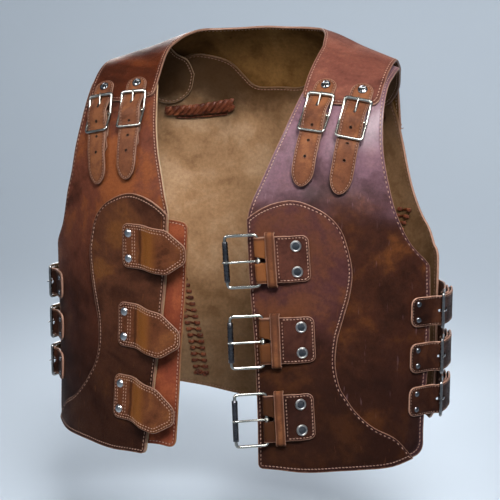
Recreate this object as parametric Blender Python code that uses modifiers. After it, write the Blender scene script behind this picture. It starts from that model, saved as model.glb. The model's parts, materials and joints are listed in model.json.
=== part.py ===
"""Leather vest: open front, four buckled shoulder straps, six side straps and three front buckles.

Metres, +Z up. The wearer faces -Y and the wearer's left is +X.
The origin lies midway between the shoulders, on the line where they carry the vest.
"""
import math

import bmesh
import bpy
import numpy as np
from mathutils import Matrix, Vector
from mathutils.geometry import delaunay_2d_cdt

MM = 0.001

# Leather thicknesses and the gap between pieces that lie on each other
PANEL = 3.4 * MM
OVERLAY = 3.0 * MM
STRAP = 2.8 * MM
CHAPE = 2.4 * MM
GAP = 0.3 * MM

# Layers of the garment, each as the height of its inner face above the lining face of the fronts
FRONT_LIFT = 0.0
OVERLAY_LIFT = FRONT_LIFT + PANEL + GAP
BACK_LIFT = FRONT_LIFT + PANEL + GAP
YOKE_BACK_LIFT = BACK_LIFT + PANEL + GAP
PLACKET_LIFT = -(OVERLAY + GAP)
TONGUE_DIP = 5.0 * MM

# Sections of the worn form below the shoulders, sizes in mm
# height, front half-width, front depth, squareness of the front, back half-width, back depth
SECTIONS_MM = (
    (-580, 276, 188, 2.00, 262, 134),
    (-520, 277, 179, 2.00, 262, 132),
    (-450, 278, 166, 2.00, 262, 126),
    (-390, 279, 158, 2.00, 264, 122),
    (-340, 281, 153, 2.00, 266, 122),
    (-295, 282, 151, 2.00, 267, 124),
    (-250, 283, 151, 2.00, 268, 127),
    (-200, 283, 149, 2.10, 262, 130),
    (-170, 282, 139, 2.20, 255, 131),
    (-145, 281, 130, 2.35, 250, 131),
    (-110, 280, 120, 2.50, 243, 130),
    (-50, 279, 111, 3.00, 240, 127),
    (50, 279, 108, 3.00, 238, 120),
)

# Shoulder line, sizes in mm: distance from the middle, its place front to back, its height,
# and the height over which the front and the back turn down from it
SHOULDER_MM = (
    (0, 55, 24, 175, 125),
    (50, 53, 21, 170, 125),
    (100, 43, 10, 165, 125),
    (150, 22, -10, 132, 125),
    (175, 11, -18, 120, 125),
    (200, 0, -27, 111, 125),
    (240, -14, -44, 105, 120),
    (280, -22, -65, 100, 110),
)
FRONT_TURN = 1.75
BACK_TURN = 1.80
LOWEST = -0.58
TURN_STEPS = 36
FALL_STEPS = 30

# Spacing of the points that carry the panels' form
ACROSS_STEP = 21 * MM
OUTLINE_STEP = 19 * MM
# How much further than its radius a rounded corner keeps the outline's other points away
CORNER_CLEAR = 1.25
DOWN_ROWS_MM = (0, 15, 30, 48, 70, 96, 126, 160, 196, 234, 272, 310, 348, 386, 424, 464, 504, 544, 584, 620)

# Heights in mm from the top down: front buckles' tabs, the billets they take, and side straps
CLOSURE_HEIGHTS_MM = (-259.5, -361, -457)
BILLET_HEIGHTS_MM = (-256, -360, -455)
SIDE_STRAP_HEIGHTS_MM = (-331, -390, -446)

# Shoulder straps: sizes in mm, run down the strap from its rivet, height of the middle of the leather
# over the lining face, and half-width
SHOULDER_STRAP_MM = (
    (-10.5, 8.8, 5.0),
    (-9, 8.8, 9.0),
    (-3, 8.8, 13.0),
    (4, 8.8, 14.0),
    (17, 9.0, 14.0),
    (26, 11.0, 14.0),
    (36, 14.6, 14.0),
    (45, 16.0, 14.0),
    (54, 14.6, 14.0),
    (62, 11.8, 14.0),
    (70, 10.8, 14.0),
    (87, 10.8, 14.2),
    (105, 10.2, 14.4),
    (122, 9.4, 14.0),
    (133, 8.8, 11.8),
    (140, 8.5, 7.5),
    (143, 8.4, 3.0),
)
# The doubled piece on the front that folds round the buckle's middle bar
SHOULDER_CHAPE_MM = (
    (78, 5.2, 13.5),
    (53, 5.2, 13.5),
    (45, 5.7, 13.5),
    (42.7, 6.7, 13.5),
    (41.7, 9.0, 13.5),
    (42.7, 11.3, 13.5),
    (45, 12.3, 13.5),
    (52, 10.3, 13.5),
    (59, 8.0, 13.5),
    (66, 7.8, 13.5),
    (81, 7.8, 13.5),
    (90, 5.0, 13.5),
    (96, 4.9, 13.5),
    (99, 4.9, 11.0),
)
SHOULDER_BARS_MM = ((17, 12.7), (45, 9.0), (70, 14.2))
SHOULDER_PRONG_MM = ((45, 9.0), (37, 10.4), (28, 13.0), (21, 14.9), (17, 15.5), (14.4, 15.2))
SHOULDER_SLOT_WIDTH = 3.6 * MM
# Slots for the prong in the strap and in the fold: run, height, length and depth
SHOULDER_SLOTS_MM = ((29, 12.4, 17, 12), (42.5, 10.0, 9, 7.6))
SHOULDER_FRAME_HALF_WIDTH = 16.5 * MM
SHOULDER_CORNER = 4.0 * MM
# Each shoulder's two straps: name, place of the rivet across and in height, place of the tip across
SHOULDER_SETS_MM = (("outer", 176, -62.5, 160), ("inner", 129.5, -57, 115.5))
WIRE = 1.7 * MM
PRONG_WIRE = 1.2 * MM

# Front closures, sizes in mm from the hinge: distance away from the front edge and middle height
CLOSURE_CHAPE_MM = (
    (36, 8.4),
    (18, 8.4),
    (6, 8.6),
    (0, 8.6),
    (-2.55, 9.65),
    (-3.6, 12.2),
    (-2.55, 14.75),
    (0, 15.8),
    (6, 14.4),
    (12, 12.2),
    (19, 11.1),
    (37, 11.1),
    (45, 9.2),
    (51, 8.4),
)
CLOSURE_HINGES_MM = (69, 76, 84.5)
CLOSURE_HINGE_LIFT = 12.2 * MM
FLAT_REACH_MM = 14
# Each frame's lift off the front and the hang of each set about its rivets, in degrees
CLOSURE_TILTS = (8, 16, 22)
CLOSURE_HANGS = (3.9, 4.0, 5.5)
CLOSURE_LENGTHS_MM = (60.5, 61, 55.5)
RIVET_INSET = 15 * MM
STRAP_HALF_WIDTH = 29 * MM
FOLD_HALF_WIDTH = 28.6 * MM
# The tab's rounded end: distance from the end and how much narrower each side is
TAB_END_MM = ((9, 0), (3, 2), (0, 7))
# The fold's rows stop this far from the tab's end, where the rounding takes over
TAB_ROWS_END_MM = 13
TAB_LIFT = 8.4 * MM
KEEPER_OFFSET = 15.5 * MM
KEEPER_HALF_WIDTH = 6.0 * MM
KEEPER_MM = ((-32.6, 8.4), (-33.6, 12.0), (-31.0, 15.6), (0, 16.4), (31.0, 15.6), (33.6, 12.0), (32.6, 8.4))
FRAME_LENGTH = 40 * MM
FRAME_HALF_HEIGHT = 32.2 * MM
FRAME_CORNER = 3.2 * MM
FRAME_WIRE = 2.0 * MM
RUNNING_GAP = 0.35 * MM
ROLLER_RADIUS = 3.6 * MM
ROLLER_HALF_LENGTH = 25.2 * MM
EYE_RADIUS = 4.2 * MM
PRONG_HALF_WIDTH = 1.8 * MM
PRONG_THICK = 3.0 * MM
PRONG_OVERHANG = 4.5 * MM
CHAPE_SLOT_MM = (17, 6, 13)

# Billets that the front buckles take: distance across, middle height, drop along the front, half-width
BILLET_MM = (
    (125, 8.6, 0, 21),
    (122, 8.6, 0, 27),
    (115, 8.6, 0, 29),
    (101, 8.8, 0, 29),
    (91, 10.6, 2, 29),
    (83, 14.6, 4.5, 29),
    (73, 17.6, 8, 29),
    (60, 17.6, 11.5, 29),
    (55, 17.0, 13, 27.8),
    (48, 16.0, 14.5, 23),
    (40, 14.8, 16, 17),
    (33, 13.8, 17.5, 12),
    (30, 13.4, 18.5, 8.5),
)
BILLET_SHIFTS_MM = (-7, 0, 3)
# How much of that drop each billet has, from the top one down
BILLET_DROP_SHARES = (0.28, 0.62, 0.82)

# Side straps: distance across for the part on the front, then places across and fore-and-aft where it is free
SIDE_STRAP_FRONT_MM = (242, 244.5, 249.5, 255, 260)
SIDE_STRAP_FREE_MM = ((270, -55.5), (276.6, -53), (280.5, -42.5), (282.2, -29), (282.2, -15), (280, 0),
                      (276.6, 14), (272.0, 26))
SIDE_CHAPE_BACK_MM = (210, 213, 222, 231, 240, 249)
SIDE_CHAPE_FREE_MM = ((262.6, 36.5), (267.4, 18), (271.0, 0), (273.0, -14), (272.7, -29), (273.7, -31.3),
                      (276.0, -32.3), (278.3, -31.3), (279.3, -29), (278.6, -15), (275.6, 0), (271.5, 14),
                      (268.6, 25))
SIDE_STRAP_HALF = 19 * MM
SIDE_TIP_BAR_MM = (280.0, -54.0)
SIDE_HEEL_BAR_MM = (276.0, -29.0)
SIDE_PRONG_MM = ((276.0, -29), (279.0, -36), (281.5, -43.5), (282.7, -50), (282.8, -54.5), (282.9, -57.5))
SIDE_FRAME_HALF = 22 * MM
END_SQUEEZE = 0.72
TIP_SQUEEZE = 0.6
# Slots for the side prongs in the strap and in the fold: place across and fore-and-aft, width, length
SIDE_SLOT_HEIGHT = 3.6 * MM
SIDE_SLOTS_MM = ((280.3, -41.5, 10, 17), (276.2, -31.8, 13, 9))

# Trim on the inside of the back: a braid under each tongue and a laced line below it
TRIM_GAP = 1.2 * MM
BRAID_THICK = 4.0 * MM
# The braid's places across and heights with its half-width there
BRAID_MM = ((70, -87.5, 9.5), (85, -89.5, 9.5), (102, -92, 9), (118, -94, 8.5), (134, -95.5, 8.5),
            (150, -96, 8), (163, -96, 7.5))
LACING_THICK = 2.0 * MM
LACING_HALF_WIDTH_MM = 9.5
LACING_ACROSS_MM = ((194, -222), (181, -255), (167, -293), (153, -333), (142, -369), (133, -408),
                    (128, -432), (124, -461), (122, -481), (120, -500))
LACING_MM = [(across, height, LACING_HALF_WIDTH_MM) for across, height in LACING_ACROSS_MM]

LEATHER_COLOURS = {
    "front": (0.115, 0.048, 0.030),
    "overlay": (0.125, 0.055, 0.032),
    "yoke": (0.150, 0.062, 0.036),
    "back": (0.140, 0.058, 0.034),
    "strap": (0.210, 0.095, 0.050),
    "fold": (0.360, 0.165, 0.060),
    "placket": (0.180, 0.060, 0.038),
    "trim": (0.110, 0.038, 0.026),
}
METAL_COLOUR = (0.62, 0.61, 0.58)
ROLLER_COLOUR = (0.16, 0.16, 0.17)


def smooth_table(at, places, values):
    """Cubic through a table's rows that never overshoots them."""
    places = np.asarray(places, float)
    values = np.asarray(values, float)
    steps = np.diff(places)
    slopes = np.diff(values) / steps
    tangents = np.zeros_like(values)
    tangents[0] = slopes[0]
    tangents[-1] = slopes[-1]
    for i in range(1, len(values) - 1):
        if slopes[i - 1] * slopes[i] > 0:
            before = 2 * steps[i] + steps[i - 1]
            after = steps[i] + 2 * steps[i - 1]
            tangents[i] = (before + after) / (before / slopes[i - 1] + after / slopes[i])
    at = np.clip(at, places[0], places[-1])
    cell = np.clip(np.searchsorted(places, at) - 1, 0, len(steps) - 1)
    part = (at - places[cell]) / steps[cell]
    rise = values[cell + 1] - values[cell]
    return (values[cell] + part * part * (3 - 2 * part) * rise
            + part * (1 - part) ** 2 * steps[cell] * tangents[cell]
            - part * part * (1 - part) * steps[cell] * tangents[cell + 1])


def table_columns(rows_mm):
    """A table's columns, with each size but the squareness turned into metres by its caller."""
    return np.array(rows_mm, float).T


SECTION = table_columns(SECTIONS_MM)
SHOULDER = table_columns(SHOULDER_MM)


def slice_curves(across, front):
    """Fore-and-aft slices of the form, each as places and heights from the shoulder line down."""
    from_middle = np.abs(np.atleast_1d(across))
    middle = smooth_table(from_middle, SHOULDER[0] * MM, SHOULDER[1] * MM)
    top = smooth_table(from_middle, SHOULDER[0] * MM, SHOULDER[2] * MM)
    turn_height = smooth_table(from_middle, SHOULDER[0] * MM, SHOULDER[3 if front else 4] * MM)
    power = 2 / (FRONT_TURN if front else BACK_TURN)
    angle = np.linspace(0, math.pi / 2, TURN_STEPS)
    turned = np.sin(angle) ** power
    dropped = 1 - np.maximum(np.cos(angle), 0) ** power
    turn_z = top[:, None] - turn_height[:, None] * dropped[None]
    fall = np.linspace(0, 1, FALL_STEPS + 1)[1:]
    foot = turn_z[:, -1:]
    fall_z = foot + (LOWEST - foot) * fall[None]
    height = np.concatenate([turn_z, fall_z], axis=1)
    reach = np.concatenate([np.repeat(turned[None], len(from_middle), 0), np.ones_like(fall_z)], axis=1)
    column = 1 if front else 4
    half_width = smooth_table(height, SECTION[0] * MM, SECTION[column] * MM)
    depth = smooth_table(height, SECTION[0] * MM, SECTION[2 if front else 5] * MM)
    square = smooth_table(height, SECTION[0] * MM, SECTION[3]) if front else np.full_like(height, 2.0)
    left = np.clip(1 - (from_middle[:, None] / half_width) ** square, 0.0004, None)
    outward = depth * left ** (1 / square) * (-1 if front else 1)
    return middle[:, None] + (outward - middle[:, None]) * reach, height


def form_points(across, run):
    """Points of the form: run is the length over the leather from the shoulder line, + down the front."""
    across = np.atleast_1d(np.asarray(across, float))
    run = np.atleast_1d(np.asarray(run, float))
    points = np.zeros((len(across), 3))
    points[:, 0] = across
    for front in (True, False):
        chosen = (run >= 0) == front
        if not chosen.any():
            continue
        places, heights = slice_curves(across[chosen], front)
        rows = np.flatnonzero(chosen)
        for place, height, row in zip(places, heights, rows):
            length = np.concatenate([[0], np.cumsum(np.hypot(np.diff(place), np.diff(height)))])
            points[row, 1] = np.interp(abs(run[row]), length, place)
            points[row, 2] = np.interp(abs(run[row]), length, height)
    return points


def form_normals(across, run):
    """Unit vectors out of the form."""
    step = 1.5 * MM
    across = np.atleast_1d(np.asarray(across, float))
    run = np.atleast_1d(np.asarray(run, float))
    over = form_points(across + step, run) - form_points(across - step, run)
    down = form_points(across, run + step) - form_points(across, run - step)
    normals = np.cross(down, over)
    return normals / np.linalg.norm(normals, axis=1)[:, None]


def lifted(across, run, lift):
    """Points a given height above the form."""
    return form_points(across, run) + form_normals(across, run) * np.atleast_1d(lift)[:, None]


def run_at(across, height, front=True):
    """Length over the leather from the shoulder line down to a height."""
    places, heights = slice_curves(across, front)
    length = np.concatenate([[0], np.cumsum(np.hypot(np.diff(places[0]), np.diff(heights[0])))])
    run = np.interp(-height, -heights[0], length)
    return run if front else -run


def front_mm(*rows):
    """Outline points on the front from rows of distance across and height, in mm."""
    return [(x * MM, run_at(x * MM, z * MM, True)) for x, z in rows]


def back_mm(*rows):
    """Outline points on the back from rows of distance across and height, in mm."""
    return [(x * MM, run_at(x * MM, z * MM, False)) for x, z in rows]


def over_mm(*rows):
    """Outline points near the shoulder line from rows of distance across and run, in mm."""
    return [(x * MM, r * MM) for x, r in rows]


def smooth_edge(points, step=OUTLINE_STEP):
    """Points of a smooth curve through the given ones, about one step apart, both ends kept."""
    pts = [Vector(p) for p in points]
    if len(pts) == 2:
        count = max(1, round((pts[1] - pts[0]).length / step))
        return [tuple(pts[0].lerp(pts[1], i / count)) for i in range(count + 1)]
    result = [tuple(pts[0])]
    for i in range(len(pts) - 1):
        before = pts[i - 1] if i > 0 else pts[i] * 2 - pts[i + 1]
        after = pts[i + 2] if i + 2 < len(pts) else pts[i + 1] * 2 - pts[i]
        start = pts[i]
        end = pts[i + 1]
        count = max(1, round((end - start).length / step))
        for k in range(1, count + 1):
            t = k / count
            point = 0.5 * (2 * start + (end - before) * t
                           + (2 * before - 5 * start + 4 * end - after) * t * t
                           + (3 * start - before - 3 * end + after) * t * t * t)
            result.append(tuple(point))
    return result


def joined_edges(edges, rounding=()):
    """One closed outline from edges that meet at corners; rounding holds a radius for each corner."""
    outline = []
    for index, edge in enumerate(edges):
        points = [Vector(p) for p in edge]
        start_radius = rounding[index] if rounding else 0
        end_radius = rounding[(index + 1) % len(edges)] if rounding else 0
        corner_in = points[0]
        corner_out = points[-1]
        kept = [p for p in points[1:-1] if (p - corner_in).length > start_radius * CORNER_CLEAR
                and (p - corner_out).length > end_radius * CORNER_CLEAR]
        if start_radius:
            previous = [Vector(p) for p in edges[index - 1]]
            before = (previous[-2] - corner_in).normalized() * start_radius + corner_in
            after = (points[1] - corner_in).normalized() * start_radius + corner_in
            for t in (0.0, 0.33, 0.67, 1.0):
                outline.append(before * (1 - t) ** 2 + corner_in * 2 * t * (1 - t) + after * t * t)
        else:
            outline.append(corner_in)
        outline += kept
    return [tuple(p) for p in outline]


# Outlines of the left half, each edge a list of real places on the garment

NECK_EDGE = over_mm((117.5, -74), (121, -48), (131, -27), (131, 5), (121, 45), (112, 95)) + front_mm(
    (100, -60), (91.5, -88), (84, -115), (75, -143), (65, -172), (55.5, -200), (52.8, -213))
FRONT_EDGE = front_mm((52.8, -213), (57, -295), (63.5, -360), (68, -410), (73, -470), (77, -523))
HEM_EDGE = front_mm((77, -523), (115, -525), (146, -526), (190, -525), (227, -525), (259, -517))
SIDE_EDGE = front_mm((259, -517), (258.5, -475), (261.5, -390), (262, -330), (261, -272))
ARM_EDGE = front_mm((261, -272), (242, -245), (230, -217), (221, -187), (213.5, -154), (208, -123),
                    (204.5, -85)) + over_mm((204, 58), (206, 28), (206, 0), (202, -30), (192, -62),
                                            (172, -95), (150, -107), (128, -98.5),
                                            (117.5, -74))
OVERLAY_EDGE = front_mm((249, -519.5), (230, -490), (206, -472.5), (187, -453), (174.5, -434),
                        (167, -420), (161.5, -394), (162.5, -363), (168.5, -336), (175.5, -305),
                        (178, -277), (173.5, -250), (164.5, -223), (148, -204.5), (128.5, -194.5),
                        (108, -190), (88, -193), (68.5, -201), (52.8, -213))
YOKE_NECK_EDGE = over_mm((0, -16), (45, -14), (78, -5), (96, 18), (104, 48)) + front_mm(
    (106, -12), (102, -42), (101, -70))
YOKE_FLAP_EDGE = front_mm((101, -70), (146, -77.5), (197, -79))
YOKE_ARM_EDGE = front_mm((197, -79), (198.5, -62)) + over_mm(
    (200, 26), (199, 0), (194, -30), (184, -66)) + back_mm((182, -118))
YOKE_LOW_EDGE = back_mm((182, -118), (165, -80), (142, -54), (115, -40), (90, -41), (70, -52), (55, -68),
                        (36, -82), (0, -82))
BACK_TOP_EDGE = back_mm((0, -62), (34, -61), (51, -45), (66, -28), (88, -19), (115, -18), (142, -32),
                        (165, -58), (181, -98))
BACK_ARM_EDGE = back_mm((181, -98), (187, -129), (195, -163), (205, -198), (218, -227), (234, -250),
                        (247, -276))
BACK_SIDE_EDGE = back_mm((247, -276), (248, -340), (249, -420), (248, -503))
BACK_HEM_EDGE = back_mm((248, -503), (200, -505), (151, -509), (98, -519), (55, -526), (0, -528))
PLACKET_TOP_EDGE = front_mm((85, -222.5), (26.5, -222.5))
PLACKET_FREE_EDGE = front_mm((26.5, -222.5), (30.5, -300), (35, -379), (36, -450), (36, -511.5))
PLACKET_FOOT_EDGE = front_mm((36, -511.5), (86, -511.5))
PLACKET_INNER_EDGE = front_mm((86, -511.5), (85, -222.5))


def split_hem():
    """The hem from the front corner to where the overlay's curved edge meets it."""
    end = Vector(OVERLAY_EDGE[0])
    hem = smooth_edge(HEM_EDGE)
    nearest = min(range(len(hem)), key=lambda i: (Vector(hem[i]) - end).length)
    hem[nearest] = tuple(end)
    return hem, nearest


def panel_outlines():
    """The closed outlines of the panels, sharing points where they share an edge."""
    hem, meeting = split_hem()
    neck = smooth_edge(NECK_EDGE)
    front = smooth_edge(FRONT_EDGE, 34 * MM)
    side = smooth_edge(SIDE_EDGE, 34 * MM)
    arm = smooth_edge(ARM_EDGE)
    panel = joined_edges([neck, front, hem, side, arm], (0, 0, 7 * MM, 15 * MM, 4 * MM))
    corner = panel.index(tuple(neck[-1]) if tuple(neck[-1]) in panel else tuple(front[0]))
    turn = min(range(len(panel)), key=lambda i: (Vector(panel[i]) - Vector(hem[meeting])).length)
    shared = panel[corner:turn + 1]
    curve = smooth_edge(OVERLAY_EDGE)
    curve[0] = shared[-1]
    overlay = shared + curve[1:-1]
    yoke = joined_edges([smooth_edge(YOKE_NECK_EDGE), smooth_edge(YOKE_FLAP_EDGE), smooth_edge(YOKE_ARM_EDGE),
                         smooth_edge(YOKE_LOW_EDGE), smooth_edge([YOKE_LOW_EDGE[-1], YOKE_NECK_EDGE[0]])],
                        (0, 10 * MM, 13 * MM, 0, 0))
    back = joined_edges([smooth_edge(BACK_TOP_EDGE), smooth_edge(BACK_ARM_EDGE),
                         smooth_edge(BACK_SIDE_EDGE, 34 * MM), smooth_edge(BACK_HEM_EDGE),
                         smooth_edge([BACK_HEM_EDGE[-1], BACK_TOP_EDGE[0]], 36 * MM)],
                        (0, 0, 6 * MM, 15 * MM, 0))
    placket = joined_edges([smooth_edge(PLACKET_TOP_EDGE), smooth_edge(PLACKET_FREE_EDGE, 38 * MM),
                            smooth_edge(PLACKET_FOOT_EDGE), smooth_edge(PLACKET_INNER_EDGE, 38 * MM)],
                           (8 * MM, 10 * MM, 14 * MM, 8 * MM))
    return {"front": panel, "overlay": overlay, "yoke": yoke, "back": back, "placket": placket}


def inside(point, outline):
    """Whether a place lies inside a closed outline."""
    x, y = point
    odd = False
    for (x1, y1), (x2, y2) in zip(outline, outline[1:] + outline[:1]):
        if (y1 > y) != (y2 > y) and x < (x2 - x1) * (y - y1) / (y2 - y1) + x1:
            odd = not odd
    return odd


def distance_to(point, outline):
    """Distance from a place to the nearest stretch of an outline."""
    best = 1.0
    here = Vector(point)
    for start, end in zip(outline, outline[1:] + outline[:1]):
        a = Vector(start)
        b = Vector(end)
        along = (b - a)
        share = max(0.0, min(1.0, (here - a).dot(along) / max(along.length_squared, 1e-12)))
        best = min(best, (here - a - along * share).length)
    return best


def shared_triangles(outlines):
    """One triangle net in (across, run) that every panel's outline cuts, so stacked panels share points."""
    places = []
    edges = []
    index = {}
    for outline in outlines.values():
        ids = []
        for point in outline:
            key = (round(point[0], 6), round(point[1], 6))
            if key not in index:
                index[key] = len(places)
                places.append(Vector(key))
            ids.append(index[key])
        edges += [(a, b) for a, b in zip(ids, ids[1:] + ids[:1]) if a != b]
    rows = sorted({sign * r * MM for r in DOWN_ROWS_MM for sign in (1, -1)})
    for number, run in enumerate(rows):
        shift = 0.5 * (number % 2)
        for column in range(-1, 17):
            across = max(0.0, (column + shift) * ACROSS_STEP)
            place = (across, run)
            used = [o for o in outlines.values() if inside((across + 1e-5, run), o)]
            if not used and across > 0:
                continue
            clear = min(distance_to(place, o) for o in outlines.values())
            if clear > (0.3 if abs(run) < 0.07 else 0.42) * ACROSS_STEP:
                places.append(Vector(place))
    verts, _, faces, *_ = delaunay_2d_cdt(places, edges, [], 0, 1e-6)
    return [tuple(v) for v in verts], [tuple(f) for f in faces]


def new_material(name, colour, roughness, metallic=0.0):
    material = bpy.data.materials.new(name)
    material.use_nodes = True
    shader = material.node_tree.nodes["Principled BSDF"]
    shader.inputs["Base Color"].default_value = (*colour, 1.0)
    shader.inputs["Roughness"].default_value = roughness
    shader.inputs["Metallic"].default_value = metallic
    material.diffuse_color = (*colour, 1.0)
    return material


def add_object(name, mesh, material, collection):
    mesh.materials.append(material)
    obj = bpy.data.objects.new(name, mesh)
    collection.objects.link(obj)
    return obj


def leather_object(name, verts, faces, thickness, kind, offset, collection):
    """An open leather surface with its thickness from Solidify."""
    mesh = bpy.data.meshes.new(name)
    mesh.from_pydata([tuple(v) for v in verts], [], faces)
    mesh.update()
    obj = add_object(name, mesh, new_material(f"{name}_leather", LEATHER_COLOURS[kind], 0.55), collection)
    thick = obj.modifiers.new("Thickness", "SOLIDIFY")
    thick.thickness = thickness
    thick.offset = offset
    thick.use_even_offset = False
    return obj


def panel_object(name, net, outline, lift, thickness, kind, collection, side=1, mirrored=False):
    """A panel from the shared net; lift gives its inner face's height at a place."""
    places, triangles = net
    chosen = []
    for triangle in triangles:
        centre = tuple(sum(places[i][axis] for i in triangle) / 3 for axis in (0, 1))
        if inside(centre, outline):
            chosen.append(triangle)
    used = sorted({i for t in chosen for i in t})
    number = {old: new for new, old in enumerate(used)}
    across = np.array([places[i][0] for i in used])
    run = np.array([places[i][1] for i in used])
    lifts = np.array([lift(x, r) for x, r in zip(across, run)])
    points = lifted(across, run, lifts)
    points[across < 1e-6, 0] = 0.0
    points[:, 0] *= side
    faces = [tuple(number[i] for i in t) for t in chosen]
    faces = [outward_face(f, points, side) for f in faces]
    obj = leather_object(name, points, faces, thickness, kind, 1.0, collection)
    if mirrored:
        mirror = obj.modifiers.new("Other half", "MIRROR")
        mirror.merge_threshold = 0.0001
        obj.modifiers.move(1, 0)
    return obj


def outward_face(face, points, side):
    """The face wound so that it looks away from the wearer."""
    a, b, c = (points[i] for i in face)
    normal = np.cross(b - a, c - a)
    core = np.array([side * 0.14 * min(1.0, abs(a[0]) / 0.14), 0.0, min(-0.10, a[2])])
    return face if normal.dot(a - core) > 0 else face[::-1]


def steady(value):
    return lambda across, run: value


def fade(value, start, end):
    """0 before start, 1 past end, smooth between."""
    t = max(0.0, min(1.0, (value - start) / (end - start)))
    return t * t * (3 - 2 * t)


def tongue_lift(across, run):
    """The front's tongue hangs a little clear of the flap at the outer end of the shoulder line."""
    near_crest = 1 - fade(abs(run + 0.005), 0.02, 0.075)
    return FRONT_LIFT - TONGUE_DIP * near_crest * (0.35 + 0.65 * fade(across, 0.13, 0.20))


def yoke_lift(across, run):
    """The yoke lies on the tongue in front and on the back panel behind."""
    return OVERLAY_LIFT + (YOKE_BACK_LIFT - OVERLAY_LIFT) * fade(-run, 0.012, 0.042)


def add_panels(collection):
    outlines = panel_outlines()
    net = shared_triangles(outlines)
    for label, side in (("L", 1), ("R", -1)):
        panel_object(f"front_{label}", net, outlines["front"], tongue_lift, PANEL, "front", collection, side)
        panel_object(f"overlay_{label}", net, outlines["overlay"], steady(OVERLAY_LIFT), OVERLAY, "overlay",
                     collection, side)
    panel_object("yoke", net, outlines["yoke"], yoke_lift, PANEL, "yoke", collection, 1, True)
    panel_object("back", net, outlines["back"], steady(BACK_LIFT), PANEL, "back", collection, 1, True)
    panel_object("placket_R", net, outlines["placket"], steady(PLACKET_LIFT), OVERLAY, "placket",
                 collection, -1)


def band_object(name, rows, thickness, kind, collection):
    """A strap from rows of three points across it, with its thickness centred on them."""
    verts = [point for row in rows for point in row]
    faces = []
    for i in range(len(rows) - 1):
        for k in range(2):
            a = 3 * i + k
            faces.append((a, a + 1, a + 4, a + 3))
    return leather_object(name, verts, faces, thickness, kind, 0.0, collection)


def form_rows(path, width_direction):
    """Rows across a strap that follows the form: path rows are across, run, lift and half-width in metres."""
    rows = []
    for across, run, lift, half in path:
        shares = np.array([-1.0, 0.0, 1.0]) * half
        rows.append([tuple(p) for p in lifted(across + shares * width_direction[0],
                                              run + shares * width_direction[1], np.full(3, lift))])
    return rows


def mirrored_rows(rows, side):
    return [[(side * x, y, z) for x, y, z in row] for row in rows]


def hidden_object(name, mesh, cutters):
    obj = bpy.data.objects.new(name, mesh)
    cutters.objects.link(obj)
    obj.hide_render = True
    obj.display_type = "WIRE"
    return obj


def boolean(obj, cutter, operation):
    modifier = obj.modifiers.new(operation.title(), "BOOLEAN")
    modifier.operation = operation
    modifier.solver = "EXACT"
    modifier.object = cutter


def slot_box(name, matrix, size, cutters):
    """A box that cuts a prong's slot, placed by a matrix."""
    mesh = bpy.data.meshes.new(name)
    box = bmesh.new()
    bmesh.ops.create_cube(box, size=1.0)
    bmesh.ops.scale(box, vec=size, verts=box.verts)
    bmesh.ops.transform(box, matrix=matrix, verts=box.verts)
    box.to_mesh(mesh)
    box.free()
    return hidden_object(name, mesh, cutters)


def wire_mesh(name, points, radius, closed=False, tip_radius=1.0):
    """A round wire along points, as a mesh."""
    curve = bpy.data.curves.new(name, "CURVE")
    curve.dimensions = "3D"
    curve.bevel_depth = radius
    curve.bevel_resolution = 1
    curve.use_fill_caps = True
    spline = curve.splines.new("POLY")
    spline.points.add(len(points) - 1)
    for number, (target, point) in enumerate(zip(spline.points, points)):
        target.co = (*point, 1.0)
        target.radius = 1.0 + (tip_radius - 1.0) * number / (len(points) - 1)
    spline.use_cyclic_u = closed
    obj = bpy.data.objects.new(name, curve)
    bpy.context.scene.collection.objects.link(obj)
    bpy.context.view_layer.update()
    mesh = bpy.data.meshes.new_from_object(obj.evaluated_get(bpy.context.evaluated_depsgraph_get()))
    bpy.data.objects.remove(obj)
    bpy.data.curves.remove(curve)
    tidy = bmesh.new()
    tidy.from_mesh(mesh)
    bmesh.ops.remove_doubles(tidy, verts=tidy.verts, dist=1e-6)
    bmesh.ops.recalc_face_normals(tidy, faces=tidy.faces)
    tidy.to_mesh(mesh)
    tidy.free()
    mesh.name = name
    for face in mesh.polygons:
        face.use_smooth = True
    return mesh


def rounded_loop(corners, radii, steps=2):
    """A closed loop whose corners are turned with their own radii; radius 0 keeps the corner."""
    result = []
    count = len(corners)
    for i, radius in enumerate(radii):
        here = Vector(corners[i])
        if not radius:
            result.append(here)
            continue
        start = here + (Vector(corners[i - 1]) - here).normalized() * radius
        end = here + (Vector(corners[(i + 1) % count]) - here).normalized() * radius
        for k in range(steps + 1):
            t = k / steps
            result.append(start * (1 - t) ** 2 + here * 2 * t * (1 - t) + end * t * t)
    return result


def metal_object(name, mesh, collection, colour=METAL_COLOUR, roughness=0.22):
    return add_object(name, mesh, new_material(f"{name}_metal", colour, roughness, 1.0), collection)


def form_matrix(across, run, lift):
    """Place on the form: local x away from the front edge, y up along the leather, z out of it."""
    origin = Vector(lifted(across, run, lift)[0])
    out = Vector(form_normals(across, run)[0])
    up = Vector(form_points(across, run - MM)[0] - form_points(across, run + MM)[0])
    up = (up - out * up.dot(out)).normalized()
    right = up.cross(out).normalized()
    matrix = Matrix((right, up, out)).transposed().to_4x4()
    matrix.translation = origin
    return matrix


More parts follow.
